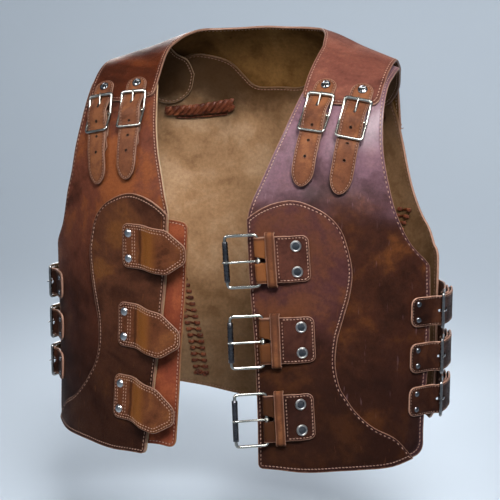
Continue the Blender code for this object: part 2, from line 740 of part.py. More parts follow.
def add_shoulder_set(label, side, across_mm, height_mm, tip_mm, collection, cutters):
    """A riveted strap, the buckle it passes through and the doubled piece that holds the buckle."""
    start = run_at(across_mm * MM, height_mm * MM)
    slope = (tip_mm - across_mm) / SHOULDER_STRAP_MM[-1][0]
    width = Vector((1.0, slope)).normalized()

    def place(run_mm):
        return (across_mm + slope * run_mm) * MM, start + run_mm * MM

    def point(run_mm, lift_mm, aside=0.0):
        across, run = place(run_mm)
        x, y, z = form_matrix(across, run, lift_mm * MM) @ Vector((aside * width[0], aside * width[1], 0))
        return Vector((side * x, y, z))

    def strap(name, table, thickness, kind):
        rows = [[point(run, lift, s * half * MM) for s in (-1, 0, 1)] for run, lift, half in table]
        return band_object(name, rows, thickness, kind, collection)

    band = strap(f"shoulder_strap_{label}", SHOULDER_STRAP_MM, STRAP, "strap")
    chape = strap(f"shoulder_chape_{label}", SHOULDER_CHAPE_MM, CHAPE, "strap")
    half = SHOULDER_FRAME_HALF_WIDTH
    top, middle, low = SHOULDER_BARS_MM
    corners = [point(*top, -half), point(*top, half), point(*middle, half), point(*low, half),
               point(*low, -half), point(*middle, -half)]
    turn = SHOULDER_CORNER
    loop = rounded_loop(corners, (turn, turn, 0, turn, turn, 0))
    frame = metal_object(f"shoulder_buckle_{label}", wire_mesh(f"shoulder_buckle_{label}", loop, WIRE, True),
                         collection)
    bar = wire_mesh(f"bar_{label}", [point(*middle, -half), point(*middle, half)], WIRE)
    prong = wire_mesh(f"tongue_{label}", [point(*row) for row in SHOULDER_PRONG_MM], PRONG_WIRE)
    boolean(frame, hidden_object(f"bar_{label}", bar, cutters), "UNION")
    boolean(frame, hidden_object(f"tongue_{label}", prong, cutters), "UNION")
    flip = Matrix.Diagonal((side, 1, 1, 1))
    for obj, (run_mm, lift_mm, length_mm, depth_mm) in zip((band, chape), SHOULDER_SLOTS_MM):
        across, run = place(run_mm)
        matrix = flip @ form_matrix(across, run, lift_mm * MM) @ flip
        size = (SHOULDER_SLOT_WIDTH, length_mm * MM, depth_mm * MM)
        boolean(obj, slot_box(f"slot_{obj.name}", matrix, size, cutters), "DIFFERENCE")


def add_shoulder_straps(collection, cutters):
    for letter, side in (("L", 1), ("R", -1)):
        for name, across, height, tip in SHOULDER_SETS_MM:
            add_shoulder_set(f"{letter}_{name}", side, across, height, tip, collection, cutters)


def side_row(across_mm, height, front, lift):
    """One row of a side strap where it lies on a panel."""
    row = []
    for share in (-1, 0, 1):
        z = height + share * SIDE_STRAP_HALF
        run = run_at(across_mm * MM, z, front)
        row.append(tuple(lifted(across_mm * MM, run, lift)[0]))
    return row


def free_rows(places_mm, height, half=SIDE_STRAP_HALF):
    return [[(x * MM, y * MM, height + share * half) for share in (-1, 0, 1)] for x, y in places_mm]


def squeeze_row(row, share):
    """The row with its width drawn in to a share."""
    middle = Vector(row[1])
    return [tuple(middle.lerp(Vector(p), share)) for p in row]


def add_side_set(label, side, height, collection, cutters):
    """A side strap riveted to the front, its buckle and the folded piece from the back."""
    on_front = FRONT_LIFT + PANEL + GAP + STRAP / 2
    on_back = BACK_LIFT + PANEL + GAP + CHAPE / 2
    rows = [side_row(x, height, True, on_front) for x in SIDE_STRAP_FRONT_MM]
    rows[0] = squeeze_row(rows[0], END_SQUEEZE)
    rows += free_rows(SIDE_STRAP_FREE_MM, height)
    rows[-1] = squeeze_row(rows[-1], TIP_SQUEEZE)
    band = band_object(f"side_strap_{label}", mirrored_rows(rows, side), STRAP, "strap", collection)
    rows = [side_row(x, height, False, on_back) for x in SIDE_CHAPE_BACK_MM]
    rows[0] = squeeze_row(rows[0], END_SQUEEZE)
    rows += free_rows(SIDE_CHAPE_FREE_MM, height)
    chape = band_object(f"side_chape_{label}", mirrored_rows(rows, side), CHAPE, "strap", collection)
    tip = SIDE_TIP_BAR_MM
    heel = SIDE_HEEL_BAR_MM
    corners = [(side * x * MM, y * MM, height + s * SIDE_FRAME_HALF)
               for (x, y), s in ((tip, 1), (heel, 1), (heel, -1), (tip, -1))]
    loop = rounded_loop(corners, (SHOULDER_CORNER,) * 4)
    frame = metal_object(f"side_buckle_{label}", wire_mesh(f"side_buckle_{label}", loop, WIRE, True),
                         collection)
    path = [(side * x * MM, y * MM, height) for x, y in SIDE_PRONG_MM]
    prong = wire_mesh(f"tongue_side_{label}", path, PRONG_WIRE)
    boolean(frame, hidden_object(f"tongue_side_{label}", prong, cutters), "UNION")
    for obj, (x, y, width_mm, length_mm) in zip((band, chape), SIDE_SLOTS_MM):
        matrix = Matrix.Translation((side * x * MM, y * MM, height))
        size = (width_mm * MM, length_mm * MM, SIDE_SLOT_HEIGHT)
        boolean(obj, slot_box(f"slot_{obj.name}", matrix, size, cutters), "DIFFERENCE")


def add_side_straps(collection, cutters):
    for letter, side in (("L", 1), ("R", -1)):
        for number, height_mm in enumerate(SIDE_STRAP_HEIGHTS_MM, 1):
            add_side_set(f"{letter}_{number}", side, height_mm * MM, collection, cutters)


def hung_place(number, across, up=0.0):
    """Place on the form of a point of a front buckle's set, which hangs a little about its rivets."""
    pivot = (CLOSURE_HINGES_MM[number] + CLOSURE_LENGTHS_MM[number]) * MM - RIVET_INSET
    angle = math.radians(CLOSURE_HANGS[number])
    away = across - pivot
    place = pivot + away * math.cos(angle) - up * math.sin(angle)
    height = CLOSURE_HEIGHTS_MM[number] * MM + away * math.sin(angle)
    return place, run_at(place, height) - up * math.cos(angle)


def closure_place(number):
    """Matrices at a front buckle's hinge, local -x to the front edge: flat, and tilted like the frame."""
    across, run = hung_place(number, CLOSURE_HINGES_MM[number] * MM)
    hang = Matrix.Rotation(math.radians(CLOSURE_HANGS[number]), 4, "Z")
    flat = form_matrix(across, run, CLOSURE_HINGE_LIFT) @ hang
    return flat, flat @ Matrix.Rotation(math.radians(CLOSURE_TILTS[number]), 4, "Y")


def flat_profile(name, outlines, half_width):
    """A flat outline in the local x-z plane, given its width along local y."""
    curve = bpy.data.curves.new(name, "CURVE")
    curve.dimensions = "2D"
    curve.fill_mode = "BOTH"
    curve.extrude = half_width
    for outline in outlines:
        spline = curve.splines.new("POLY")
        spline.points.add(len(outline) - 1)
        for target, (x, z) in zip(spline.points, outline):
            target.co = (x, z, 0.0, 1.0)
        spline.use_cyclic_u = True
    obj = bpy.data.objects.new(name, curve)
    bpy.context.scene.collection.objects.link(obj)
    bpy.context.view_layer.update()
    mesh = bpy.data.meshes.new_from_object(obj.evaluated_get(bpy.context.evaluated_depsgraph_get()))
    bpy.data.objects.remove(obj)
    bpy.data.curves.remove(curve)
    tidy = bmesh.new()
    tidy.from_mesh(mesh)
    bmesh.ops.remove_doubles(tidy, verts=tidy.verts, dist=1e-6)
    bmesh.ops.rotate(tidy, cent=(0, 0, 0), matrix=Matrix.Rotation(math.pi / 2, 3, "X"), verts=tidy.verts)
    bmesh.ops.recalc_face_normals(tidy, faces=tidy.faces)
    tidy.to_mesh(mesh)
    tidy.free()
    mesh.name = name
    return mesh


def circle_points(radius, start, end, count):
    return [(radius * math.cos(math.radians(start + (end - start) * i / count)),
             radius * math.sin(math.radians(start + (end - start) * i / count))) for i in range(count + 1)]


def prong_outlines():
    """Side view of a front buckle's prong: an eye on the heel bar and an arm that rests on the roller."""
    rest = ROLLER_RADIUS + GAP
    tip = FRAME_LENGTH + PRONG_OVERHANG
    reach = FRAME_LENGTH - 4 * MM
    eye = circle_points(EYE_RADIUS, 100, -150, 9)
    arm = [(-FRAME_LENGTH / 2, rest * 0.55), (-reach, rest), (1.2 * MM - tip, rest - 0.4 * MM),
           (-tip, rest + 0.5 * MM), (0.8 * MM - tip, rest + PRONG_THICK - MM),
           (-reach, rest + PRONG_THICK), (-FRAME_LENGTH / 2, rest * 0.55 + PRONG_THICK)]
    hole = circle_points(FRAME_WIRE + RUNNING_GAP, 0, 330, 11)
    return [eye + arm, hole]


def ring_tube(name, inner, outer, half_length, sides=14):
    """A tube along local y, turned from its profile."""
    mesh = bpy.data.meshes.new(name)
    profile = [(inner, -half_length), (outer, -half_length), (outer, half_length), (inner, half_length)]
    turned = bmesh.new()
    verts = [turned.verts.new((r, y, 0.0)) for r, y in profile]
    edges = [turned.edges.new((verts[i], verts[(i + 1) % 4])) for i in range(4)]
    bmesh.ops.spin(turned, geom=verts + edges, axis=(0, 1, 0), cent=(0, 0, 0), angle=2 * math.pi, steps=sides,
                   use_duplicate=False)
    bmesh.ops.remove_doubles(turned, verts=turned.verts, dist=1e-6)
    bmesh.ops.recalc_face_normals(turned, faces=turned.faces)
    turned.to_mesh(mesh)
    turned.free()
    return mesh


def add_front_buckle(number, collection, cutters):
    """A front buckle on its folded piece: frame, prong and roller each on its own axis."""
    label = number + 1
    across = CLOSURE_HINGES_MM[number] * MM
    flat, matrix = closure_place(number)

    def hung_row(away, lift, half):
        places = [hung_place(number, across + away, -share * half) for share in (-1, 0, 1)]
        return [tuple(lifted(place, run, lift)[0]) for place, run in places]

    rows = []
    last = CLOSURE_LENGTHS_MM[number] - TAB_ROWS_END_MM
    for away_mm, lift_mm in [row for row in CLOSURE_CHAPE_MM if row[0] < last]:
        if away_mm < FLAT_REACH_MM:
            out = lift_mm * MM - CLOSURE_HINGE_LIFT
            rows.append([tuple(flat @ Vector((away_mm * MM, -share * FOLD_HALF_WIDTH, out)))
                         for share in (-1, 0, 1)])
        else:
            rows.append(hung_row(away_mm * MM, lift_mm * MM, STRAP_HALF_WIDTH))
    for inset_mm, narrower_mm in TAB_END_MM:
        rows.append(hung_row((CLOSURE_LENGTHS_MM[number] - inset_mm) * MM, TAB_LIFT,
                             STRAP_HALF_WIDTH - narrower_mm * MM))
    chape = band_object(f"chape_{label}", rows, CHAPE, "fold", collection)
    box = slot_box(f"slot_chape_{label}", flat, [size * MM for size in CHAPE_SLOT_MM], cutters)
    boolean(chape, box, "DIFFERENCE")
    rows = []
    for down_mm, lift_mm in KEEPER_MM:
        places = [hung_place(number, across + KEEPER_OFFSET + share * KEEPER_HALF_WIDTH, -down_mm * MM)
                  for share in (-1, 0, 1)]
        rows.append([tuple(lifted(place, run, lift_mm * MM)[0]) for place, run in places])
    band_object(f"keeper_{label}", rows, CHAPE, "strap", collection)
    far = -FRAME_LENGTH
    corners = [(x, s * FRAME_HALF_HEIGHT, 0) for x, s in ((far, 1), (0, 1), (0, -1), (far, -1))]
    loop = rounded_loop(corners, (FRAME_CORNER,) * 4, 3)
    frame = metal_object(f"buckle_frame_{label}", wire_mesh(f"buckle_frame_{label}", loop, FRAME_WIRE, True),
                         collection)
    frame.matrix_world = matrix
    prong = metal_object(f"prong_{label}", flat_profile(f"prong_{label}", prong_outlines(), PRONG_HALF_WIDTH),
                         collection)
    prong.matrix_world = matrix
    tube = ring_tube(f"roller_{label}", FRAME_WIRE + RUNNING_GAP, ROLLER_RADIUS, ROLLER_HALF_LENGTH)
    roller = metal_object(f"roller_{label}", tube, collection, ROLLER_COLOUR, 0.35)
    roller.matrix_world = matrix @ Matrix.Translation((far, 0, 0))


def add_billet(number, collection):
    """A strap for a front buckle, riveted to the right front and bent away from it."""
    path = []
    height = BILLET_HEIGHTS_MM[number] * MM
    share = BILLET_DROP_SHARES[number]
    for across_mm, lift, drop, half in BILLET_MM:
        across = (across_mm + BILLET_SHIFTS_MM[number]) * MM
        path.append((across, run_at(across, height) + drop * share * MM, lift * MM, half * MM))
    rows = mirrored_rows(form_rows(path, (0.0, 1.0)), -1)
    band_object(f"billet_{number + 1}", rows, STRAP, "strap", collection)


def add_closures(collection, cutters):
    for number in range(len(CLOSURE_HEIGHTS_MM)):
        add_front_buckle(number, collection, cutters)
        add_billet(number, collection)


def trim_rows(places, lift, width_direction, side):
    """Rows of a strip on the inside of the back, from places across, heights and half-widths."""
    path = [(x * MM, run_at(x * MM, z * MM, False), lift, half * MM) for x, z, half in places]
    return mirrored_rows(form_rows(path, width_direction), side)


def add_trim(collection):
    """Braid and laced line on the inside of each half of the back."""
    braid_lift = BACK_LIFT - TRIM_GAP - BRAID_THICK / 2
    lacing_lift = BACK_LIFT - TRIM_GAP - LACING_THICK / 2
    for letter, side in (("L", 1), ("R", -1)):
        rows = trim_rows(BRAID_MM, braid_lift, (0.0, 1.0), side)
        band_object(f"braid_{letter}", rows, BRAID_THICK, "trim", collection)
        rows = trim_rows(LACING_MM, lacing_lift, (1.0, 0.0), side)
        band_object(f"lacing_{letter}", rows, LACING_THICK, "trim", collection)


def main():
    for obj in list(bpy.data.objects):
        bpy.data.objects.remove(obj)
    vest = bpy.data.collections.new("leather_vest")
    bpy.context.scene.collection.children.link(vest)
    cutters = bpy.data.collections.new("cutters")
    bpy.context.scene.collection.children.link(cutters)
    add_panels(vest)
    add_shoulder_straps(vest, cutters)
    add_side_straps(vest, cutters)
    add_closures(vest, cutters)
    add_trim(vest)


main()
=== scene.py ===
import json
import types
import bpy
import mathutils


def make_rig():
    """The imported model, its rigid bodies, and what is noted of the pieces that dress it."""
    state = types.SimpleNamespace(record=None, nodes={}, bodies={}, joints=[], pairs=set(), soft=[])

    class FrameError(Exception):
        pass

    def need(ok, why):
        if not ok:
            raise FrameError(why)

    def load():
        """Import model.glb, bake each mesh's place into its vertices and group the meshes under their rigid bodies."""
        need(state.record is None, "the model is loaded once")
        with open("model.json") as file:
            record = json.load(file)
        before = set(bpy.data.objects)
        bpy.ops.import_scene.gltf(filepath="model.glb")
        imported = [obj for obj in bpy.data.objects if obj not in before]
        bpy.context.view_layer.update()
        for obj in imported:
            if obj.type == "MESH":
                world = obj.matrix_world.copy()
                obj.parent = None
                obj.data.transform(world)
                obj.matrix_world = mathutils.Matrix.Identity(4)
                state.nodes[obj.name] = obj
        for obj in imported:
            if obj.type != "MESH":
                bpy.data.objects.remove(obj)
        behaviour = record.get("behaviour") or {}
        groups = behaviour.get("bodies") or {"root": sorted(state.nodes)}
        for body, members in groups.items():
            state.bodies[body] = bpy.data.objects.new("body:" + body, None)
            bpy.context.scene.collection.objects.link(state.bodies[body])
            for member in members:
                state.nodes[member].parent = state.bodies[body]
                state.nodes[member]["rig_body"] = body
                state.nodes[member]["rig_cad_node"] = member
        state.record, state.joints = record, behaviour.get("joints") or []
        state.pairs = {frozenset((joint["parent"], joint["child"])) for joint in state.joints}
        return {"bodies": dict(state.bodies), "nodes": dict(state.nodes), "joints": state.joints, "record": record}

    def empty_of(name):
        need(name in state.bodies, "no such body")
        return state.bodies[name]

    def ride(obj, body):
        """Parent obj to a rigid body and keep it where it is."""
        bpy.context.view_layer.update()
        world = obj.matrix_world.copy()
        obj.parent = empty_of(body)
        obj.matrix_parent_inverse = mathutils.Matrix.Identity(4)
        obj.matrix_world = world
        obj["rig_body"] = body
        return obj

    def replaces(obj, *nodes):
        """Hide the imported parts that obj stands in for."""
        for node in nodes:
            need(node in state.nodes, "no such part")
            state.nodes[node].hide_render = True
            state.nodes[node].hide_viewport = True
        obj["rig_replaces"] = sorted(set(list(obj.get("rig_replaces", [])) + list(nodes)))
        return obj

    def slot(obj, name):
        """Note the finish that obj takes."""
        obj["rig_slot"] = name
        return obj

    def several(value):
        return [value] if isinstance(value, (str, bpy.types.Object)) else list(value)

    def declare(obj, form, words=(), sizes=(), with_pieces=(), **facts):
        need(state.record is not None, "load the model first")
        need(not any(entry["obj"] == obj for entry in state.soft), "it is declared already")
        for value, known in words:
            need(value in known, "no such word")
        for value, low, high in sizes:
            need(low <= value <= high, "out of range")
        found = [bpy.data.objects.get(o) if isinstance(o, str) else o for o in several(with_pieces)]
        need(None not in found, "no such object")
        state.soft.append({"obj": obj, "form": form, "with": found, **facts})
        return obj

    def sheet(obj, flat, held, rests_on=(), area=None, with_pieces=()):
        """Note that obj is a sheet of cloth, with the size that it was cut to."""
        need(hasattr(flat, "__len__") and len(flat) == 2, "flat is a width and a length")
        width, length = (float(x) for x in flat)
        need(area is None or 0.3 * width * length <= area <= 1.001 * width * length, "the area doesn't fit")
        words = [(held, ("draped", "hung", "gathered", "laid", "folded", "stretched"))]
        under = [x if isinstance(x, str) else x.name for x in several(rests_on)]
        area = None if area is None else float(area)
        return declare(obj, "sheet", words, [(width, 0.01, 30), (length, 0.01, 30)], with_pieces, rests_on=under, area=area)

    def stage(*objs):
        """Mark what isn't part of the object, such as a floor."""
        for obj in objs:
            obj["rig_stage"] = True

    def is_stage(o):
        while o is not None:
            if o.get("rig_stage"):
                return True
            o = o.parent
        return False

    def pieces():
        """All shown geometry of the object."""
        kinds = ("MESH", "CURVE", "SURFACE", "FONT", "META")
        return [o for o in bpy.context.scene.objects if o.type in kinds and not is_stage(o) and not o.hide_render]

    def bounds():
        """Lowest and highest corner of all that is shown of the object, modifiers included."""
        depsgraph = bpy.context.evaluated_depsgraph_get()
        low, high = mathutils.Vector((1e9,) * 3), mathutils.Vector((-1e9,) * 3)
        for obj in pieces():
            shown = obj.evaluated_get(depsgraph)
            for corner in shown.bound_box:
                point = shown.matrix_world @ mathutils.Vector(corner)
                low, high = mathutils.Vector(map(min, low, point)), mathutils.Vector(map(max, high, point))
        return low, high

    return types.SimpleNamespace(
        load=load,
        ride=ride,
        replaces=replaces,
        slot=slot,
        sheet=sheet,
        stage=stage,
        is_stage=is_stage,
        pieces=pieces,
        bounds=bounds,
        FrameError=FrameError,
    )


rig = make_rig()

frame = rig.load()

import json
import math

import bpy
import numpy as np
from mathutils import Matrix, Vector
from mathutils.geometry import delaunay_2d_cdt

cadLow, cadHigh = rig.bounds()
mm = 0.001
random = np.random.default_rng(7)

# the worn form: each leather piece is laid on it by its distance across and its run over the shoulder
formShape = {
    # height, front half-width, front depth, squareness of the front, back half-width, back depth
    "sections": (
        (-580, 276, 188, 2.00, 262, 134),
        (-520, 277, 179, 2.00, 262, 132),
        (-450, 278, 166, 2.00, 262, 126),
        (-390, 279, 158, 2.00, 264, 122),
        (-340, 281, 153, 2.00, 266, 122),
        (-295, 282, 151, 2.00, 267, 124),
        (-250, 283, 151, 2.00, 268, 127),
        (-200, 283, 149, 2.10, 262, 130),
        (-170, 282, 139, 2.20, 255, 131),
        (-145, 281, 130, 2.35, 250, 131),
        (-110, 280, 120, 2.50, 243, 130),
        (-50, 279, 111, 3.00, 240, 127),
        (50, 279, 108, 3.00, 238, 120),
    ),
    # distance across, place front to back, height, turn height in front, turn height behind
    "shoulder": (
        (0, 55, 24, 175, 125),
        (50, 53, 21, 170, 125),
        (100, 43, 10, 165, 125),
        (150, 22, -10, 132, 125),
        (175, 11, -18, 120, 125),
        (200, 0, -27, 111, 125),
        (240, -14, -44, 105, 120),
        (280, -22, -65, 100, 110),
    ),
    "frontTurn": 1.75,
    "backTurn": 1.80,
    "lowest": -0.58,
    "halfWidth": 0.29,
    "reach": 0.72,
    "step": 0.002,
    "turnSteps": 200,
    "fallSteps": 220,
}

# thickness of each leather and how far its inner face stands off the form
leather = {
    "panel": 3.4 * mm,
    "overlay": 3.0 * mm,
    "strap": 2.8 * mm,
    "fold": 2.4 * mm,
    "overlayLift": 3.7 * mm,
    "backLift": 3.7 * mm,
    "yokeBackLift": 7.4 * mm,
    "placketLift": -3.3 * mm,
    # the fronts dip under the yoke near the shoulder's crest, between these runs and places across
    "tongueDip": 5.0 * mm,
    "tongueRuns": (0.02, 0.075),
    "tongueAcross": (0.13, 0.20),
    "yokeRiseRuns": (0.012, 0.042),
}

# rings of points beside a cut edge and its sewn groove, and how the leather sinks towards the edge
cutEdges = {
    "firstRing": 1.6 * mm,
    "grooveRings": (-0.8 * mm, 0, 0.8 * mm, 2.6 * mm),
    "holeBevel": 0.3 * mm,
    "sink": 0.22 * mm,
    "sinkReach": 2.4 * mm,
    "panelGroove": 3.6 * mm,
    "panelThreadSink": 0.22 * mm,
    "strapThreadSink": 0.12 * mm,
    "wave": 0.45 * mm,
}


def smoothTable(at, places, values):
    # smooth values between table rows, without overshoot
    places = np.asarray(places, float)
    values = np.asarray(values, float)
    steps = np.diff(places)
    slopes = np.diff(values) / steps
    tangents = np.zeros_like(values)
    tangents[0], tangents[-1] = slopes[0], slopes[-1]
    for i in range(1, len(values) - 1):
        if slopes[i - 1] * slopes[i] > 0:
            before = 2 * steps[i] + steps[i - 1]
            after = steps[i] + 2 * steps[i - 1]
            tangents[i] = (before + after) / (before / slopes[i - 1] + after / slopes[i])
    at = np.clip(at, places[0], places[-1])
    cell = np.clip(np.searchsorted(places, at) - 1, 0, len(steps) - 1)
    part = (at - places[cell]) / steps[cell]
    rise = values[cell + 1] - values[cell]
    return (values[cell] + part * part * (3 - 2 * part) * rise
            + part * (1 - part) ** 2 * steps[cell] * tangents[cell]
            - part * part * (1 - part) * steps[cell] * tangents[cell + 1])


def fade(value, start, end):
    # 0 at start, 1 at end, smooth between them
    t = np.clip((np.asarray(value, float) - start) / (end - start), 0, 1)
    return t * t * (3 - 2 * t)


def unit(vectors):
    vectors = np.asarray(vectors, float)
    return vectors / np.maximum(np.linalg.norm(vectors, axis=-1, keepdims=True), 1e-12)


def formSlices(across, front):
    # for each place across, the line of the form from the shoulder's middle down
    section = np.array(formShape["sections"], float).T
    shoulder = np.array(formShape["shoulder"], float).T
    middle = smoothTable(across, shoulder[0] * mm, shoulder[1] * mm)
    top = smoothTable(across, shoulder[0] * mm, shoulder[2] * mm)
    turnHeight = smoothTable(across, shoulder[0] * mm, shoulder[3 if front else 4] * mm)
    power = 2 / formShape["frontTurn" if front else "backTurn"]
    angle = np.linspace(0, math.pi / 2, formShape["turnSteps"])
    turned = np.sin(angle) ** power
    dropped = 1 - np.maximum(np.cos(angle), 0) ** power
    turnZ = top[:, None] - turnHeight[:, None] * dropped[None]
    fall = np.linspace(0, 1, formShape["fallSteps"] + 1)[1:]
    foot = turnZ[:, -1:]
    height = np.concatenate([turnZ, foot + (formShape["lowest"] - foot) * fall[None]], axis=1)
    reach = np.concatenate([np.repeat(turned[None], len(across), 0),
                            np.ones((len(across), formShape["fallSteps"]))], axis=1)
    halfWidth = smoothTable(height, section[0] * mm, section[1 if front else 4] * mm)
    depth = smoothTable(height, section[0] * mm, section[2 if front else 5] * mm)
    square = smoothTable(height, section[0] * mm, section[3]) if front else np.full_like(height, 2.0)
    left = np.clip(1 - (across[:, None] / halfWidth) ** square, 0.0004, None)
    outward = depth * left ** (1 / square) * (-1 if front else 1)
    return middle[:, None] + (outward - middle[:, None]) * reach, height


def buildForm():
    step = formShape["step"]
    across = np.arange(0, formShape["halfWidth"], step)
    runs = np.arange(0, formShape["reach"] + step, step)
    halves = []
    for front in (False, True):
        places, heights = formSlices(across, front)
        rows = np.zeros((len(across), len(runs), 3))
        for i, (place, height) in enumerate(zip(places, heights)):
            length = np.concatenate([[0], np.cumsum(np.hypot(np.diff(place), np.diff(height)))])
            rows[i, :, 0] = across[i]
            rows[i, :, 1] = np.interp(runs, length, place)
            rows[i, :, 2] = np.interp(runs, length, height)
        halves.append(rows)
    points = np.concatenate([halves[0][:, :0:-1], halves[1]], axis=1)
    normals = np.cross(np.gradient(points, axis=1), np.gradient(points, axis=0))
    normals[0, :, 0] = 0
    return points, unit(normals), len(runs) - 1


formPoints, formNormals, formMiddle = buildForm()
print("form ready", formPoints.shape)


def formAt(across, run):
    # points and normals of the form; the run is below 0 on the back and above 0 on the front
    step = formShape["step"]
    across = np.atleast_1d(np.asarray(across, float))
    run = np.atleast_1d(np.asarray(run, float))
    across, run = np.broadcast_arrays(across, run)
    row = np.clip(np.abs(across) / step, 0, formPoints.shape[0] - 1.001)
    col = np.clip(run / step + formMiddle, 0, formPoints.shape[1] - 1.001)
    i, j = row.astype(int), col.astype(int)
    a, b = (row - i)[:, None], (col - j)[:, None]

    def mixed(grid):
        return ((grid[i, j] * (1 - a) + grid[i + 1, j] * a) * (1 - b)
                + (grid[i, j + 1] * (1 - a) + grid[i + 1, j + 1] * a) * b)

    points, normals = mixed(formPoints), unit(mixed(formNormals))
    side = np.where(across < 0, -1.0, 1.0)
    points[:, 0] *= side
    normals[:, 0] *= side
    return points, normals


def lifted(across, run, lift):
    points, normals = formAt(across, run)
    return points + normals * np.atleast_1d(np.asarray(lift, float))[:, None]


def runAt(across, height, front=True):
    # the run at which the form has this height, on the front or on the back
    place = abs(across) / formShape["step"]
    i = min(int(place), formPoints.shape[0] - 2)
    share = place - i
    column = formPoints[i, :, 2] * (1 - share) + formPoints[i + 1, :, 2] * share
    column = column[formMiddle:] if front else column[formMiddle::-1]
    run = float(np.interp(-height, -column, np.arange(len(column)) * formShape["step"]))
    return run if front else -run


def frontMm(*rows):
    return [(x * mm, runAt(x * mm, z * mm, True)) for x, z in rows]


def backMm(*rows):
    return [(x * mm, runAt(x * mm, z * mm, False)) for x, z in rows]


def overMm(*rows):
    return [(x * mm, r * mm) for x, r in rows]


def curvePoint(before, start, end, after, t):
    return 0.5 * (2 * start + (end - before) * t
                  + (2 * before - 5 * start + 4 * end - after) * t * t
                  + (3 * start - before - 3 * end + after) * t ** 3)


def smoothEdge(points, step=3 * mm):
    pts = np.array(points, float)
    if len(pts) == 2:
        count = max(1, round(float(np.linalg.norm(pts[1] - pts[0])) / step))
        return [tuple(pts[0] + (pts[1] - pts[0]) * i / count) for i in range(count + 1)]
    result = [tuple(pts[0])]
    for i in range(len(pts) - 1):
        before = pts[i - 1] if i > 0 else pts[i] * 2 - pts[i + 1]
        after = pts[i + 2] if i + 2 < len(pts) else pts[i + 1] * 2 - pts[i]
        start, end = pts[i], pts[i + 1]
        count = max(1, round(float(np.linalg.norm(end - start)) / step))
        for k in range(1, count + 1):
            result.append(tuple(curvePoint(before, start, end, after, k / count)))
    return result


def joinedEdges(edges, rounding):
    # one closed outline out of edges, with the corner before each edge rounded
    outline = []
    for index, edge in enumerate(edges):
        points = np.array(edge, float)
        startRadius, endRadius = rounding[index], rounding[(index + 1) % len(edges)]
        cornerIn, cornerOut = points[0], points[-1]
        if startRadius:
            previous = np.array(edges[index - 1], float)
            before = unit(previous[-2] - cornerIn) * startRadius + cornerIn
            after = unit(points[1] - cornerIn) * startRadius + cornerIn
            for t in np.linspace(0, 1, 9):
                outline.append(before * (1 - t) ** 2 + cornerIn * 2 * t * (1 - t) + after * t * t)
        else:
            outline.append(cornerIn)
        for point in points[1:-1]:
            if (np.linalg.norm(point - cornerIn) > startRadius * 1.1
                    and np.linalg.norm(point - cornerOut) > endRadius * 1.1):
                outline.append(point)
    return np.array(outline)


# the cut of the panels, left half, as places across and heights or runs in mm
cut = {
    "neck": overMm((117.5, -74), (121, -48), (131, -27), (131, 5), (121, 45), (112, 95)) + frontMm(
        (100, -60), (91.5, -88), (84, -115), (75, -143), (65, -172), (55.5, -200), (52.8, -213)),
    "front": frontMm((52.8, -213), (57, -295), (63.5, -360), (68, -410), (73, -470), (77, -523)),
    "hem": frontMm((77, -523), (115, -525), (146, -526), (190, -525), (227, -525), (259, -517)),
    "side": frontMm((259, -517), (258.5, -475), (261.5, -390), (262, -330), (261, -272)),
    "arm": frontMm((261, -272), (242, -245), (230, -217), (221, -187), (213.5, -154), (208, -123),
                   (204.5, -85)) + overMm((204, 58), (206, 28), (206, 0), (202, -30), (192, -62),
                                          (172, -95), (150, -107), (128, -98.5), (117.5, -74)),
    "overlay": frontMm((249, -519.5), (230, -490), (206, -472.5), (187, -453), (174.5, -434),
                       (167, -420), (161.5, -394), (162.5, -363), (168.5, -336), (175.5, -305),
                       (178, -277), (173.5, -250), (164.5, -223), (148, -204.5), (128.5, -194.5),
                       (108, -190), (88, -193), (68.5, -201), (52.8, -213)),
    "yokeNeck": overMm((0, -16), (45, -14), (78, -5), (96, 18), (104, 48)) + frontMm(
        (106, -12), (102, -42), (101, -70)),
    "yokeFlap": frontMm((101, -70), (146, -77.5), (197, -79)),
    "yokeArm": frontMm((197, -79), (198.5, -62)) + overMm(
        (200, 26), (199, 0), (194, -30), (184, -66)) + backMm((182, -118)),
    "yokeLow": backMm((182, -118), (165, -80), (142, -54), (115, -40), (90, -41), (70, -52), (55, -68),
                      (36, -82), (0, -82)),
    "backTop": backMm((0, -62), (34, -61), (51, -45), (66, -28), (88, -19), (115, -18), (142, -32),
                      (165, -58), (181, -98)),
    "backArm": backMm((181, -98), (187, -129), (195, -163), (205, -198), (218, -227), (234, -250),
                      (247, -276)),
    "backSide": backMm((247, -276), (248, -340), (249, -420), (248, -503)),
    "backHem": backMm((248, -503), (200, -505), (151, -509), (98, -519), (55, -526), (0, -528)),
    "placketTop": frontMm((85, -222.5), (26.5, -222.5)),
    "placketFree": frontMm((26.5, -222.5), (30.5, -300), (35, -379), (36, -450), (36, -511.5)),
    "placketFoot": frontMm((36, -511.5), (86, -511.5)),
    "placketInner": frontMm((86, -511.5), (85, -222.5)),
}

# how far the corner before each edge is rounded
cornerRounding = {
    "front": (0, 0, 7 * mm, 15 * mm, 4 * mm),
    "overlay": (0, 7 * mm, 0),
    "yoke": (0, 10 * mm, 13 * mm, 0),
    "back": (0, 0, 6 * mm, 15 * mm),
    "placket": (8 * mm, 10 * mm, 14 * mm, 8 * mm),
}


def bothHalves(edges, rounding):
    # an outline that starts and ends on the middle line, with its mirror image
    middle = [edges[-1][-1], edges[0][0]]
    half = joinedEdges(edges + [middle], tuple(rounding) + (0,))
    other = half[1:][::-1] * np.array([-1.0, 1.0])
    other = other[np.abs(other[:, 0]) > 1e-6]
    return np.concatenate([half, other])


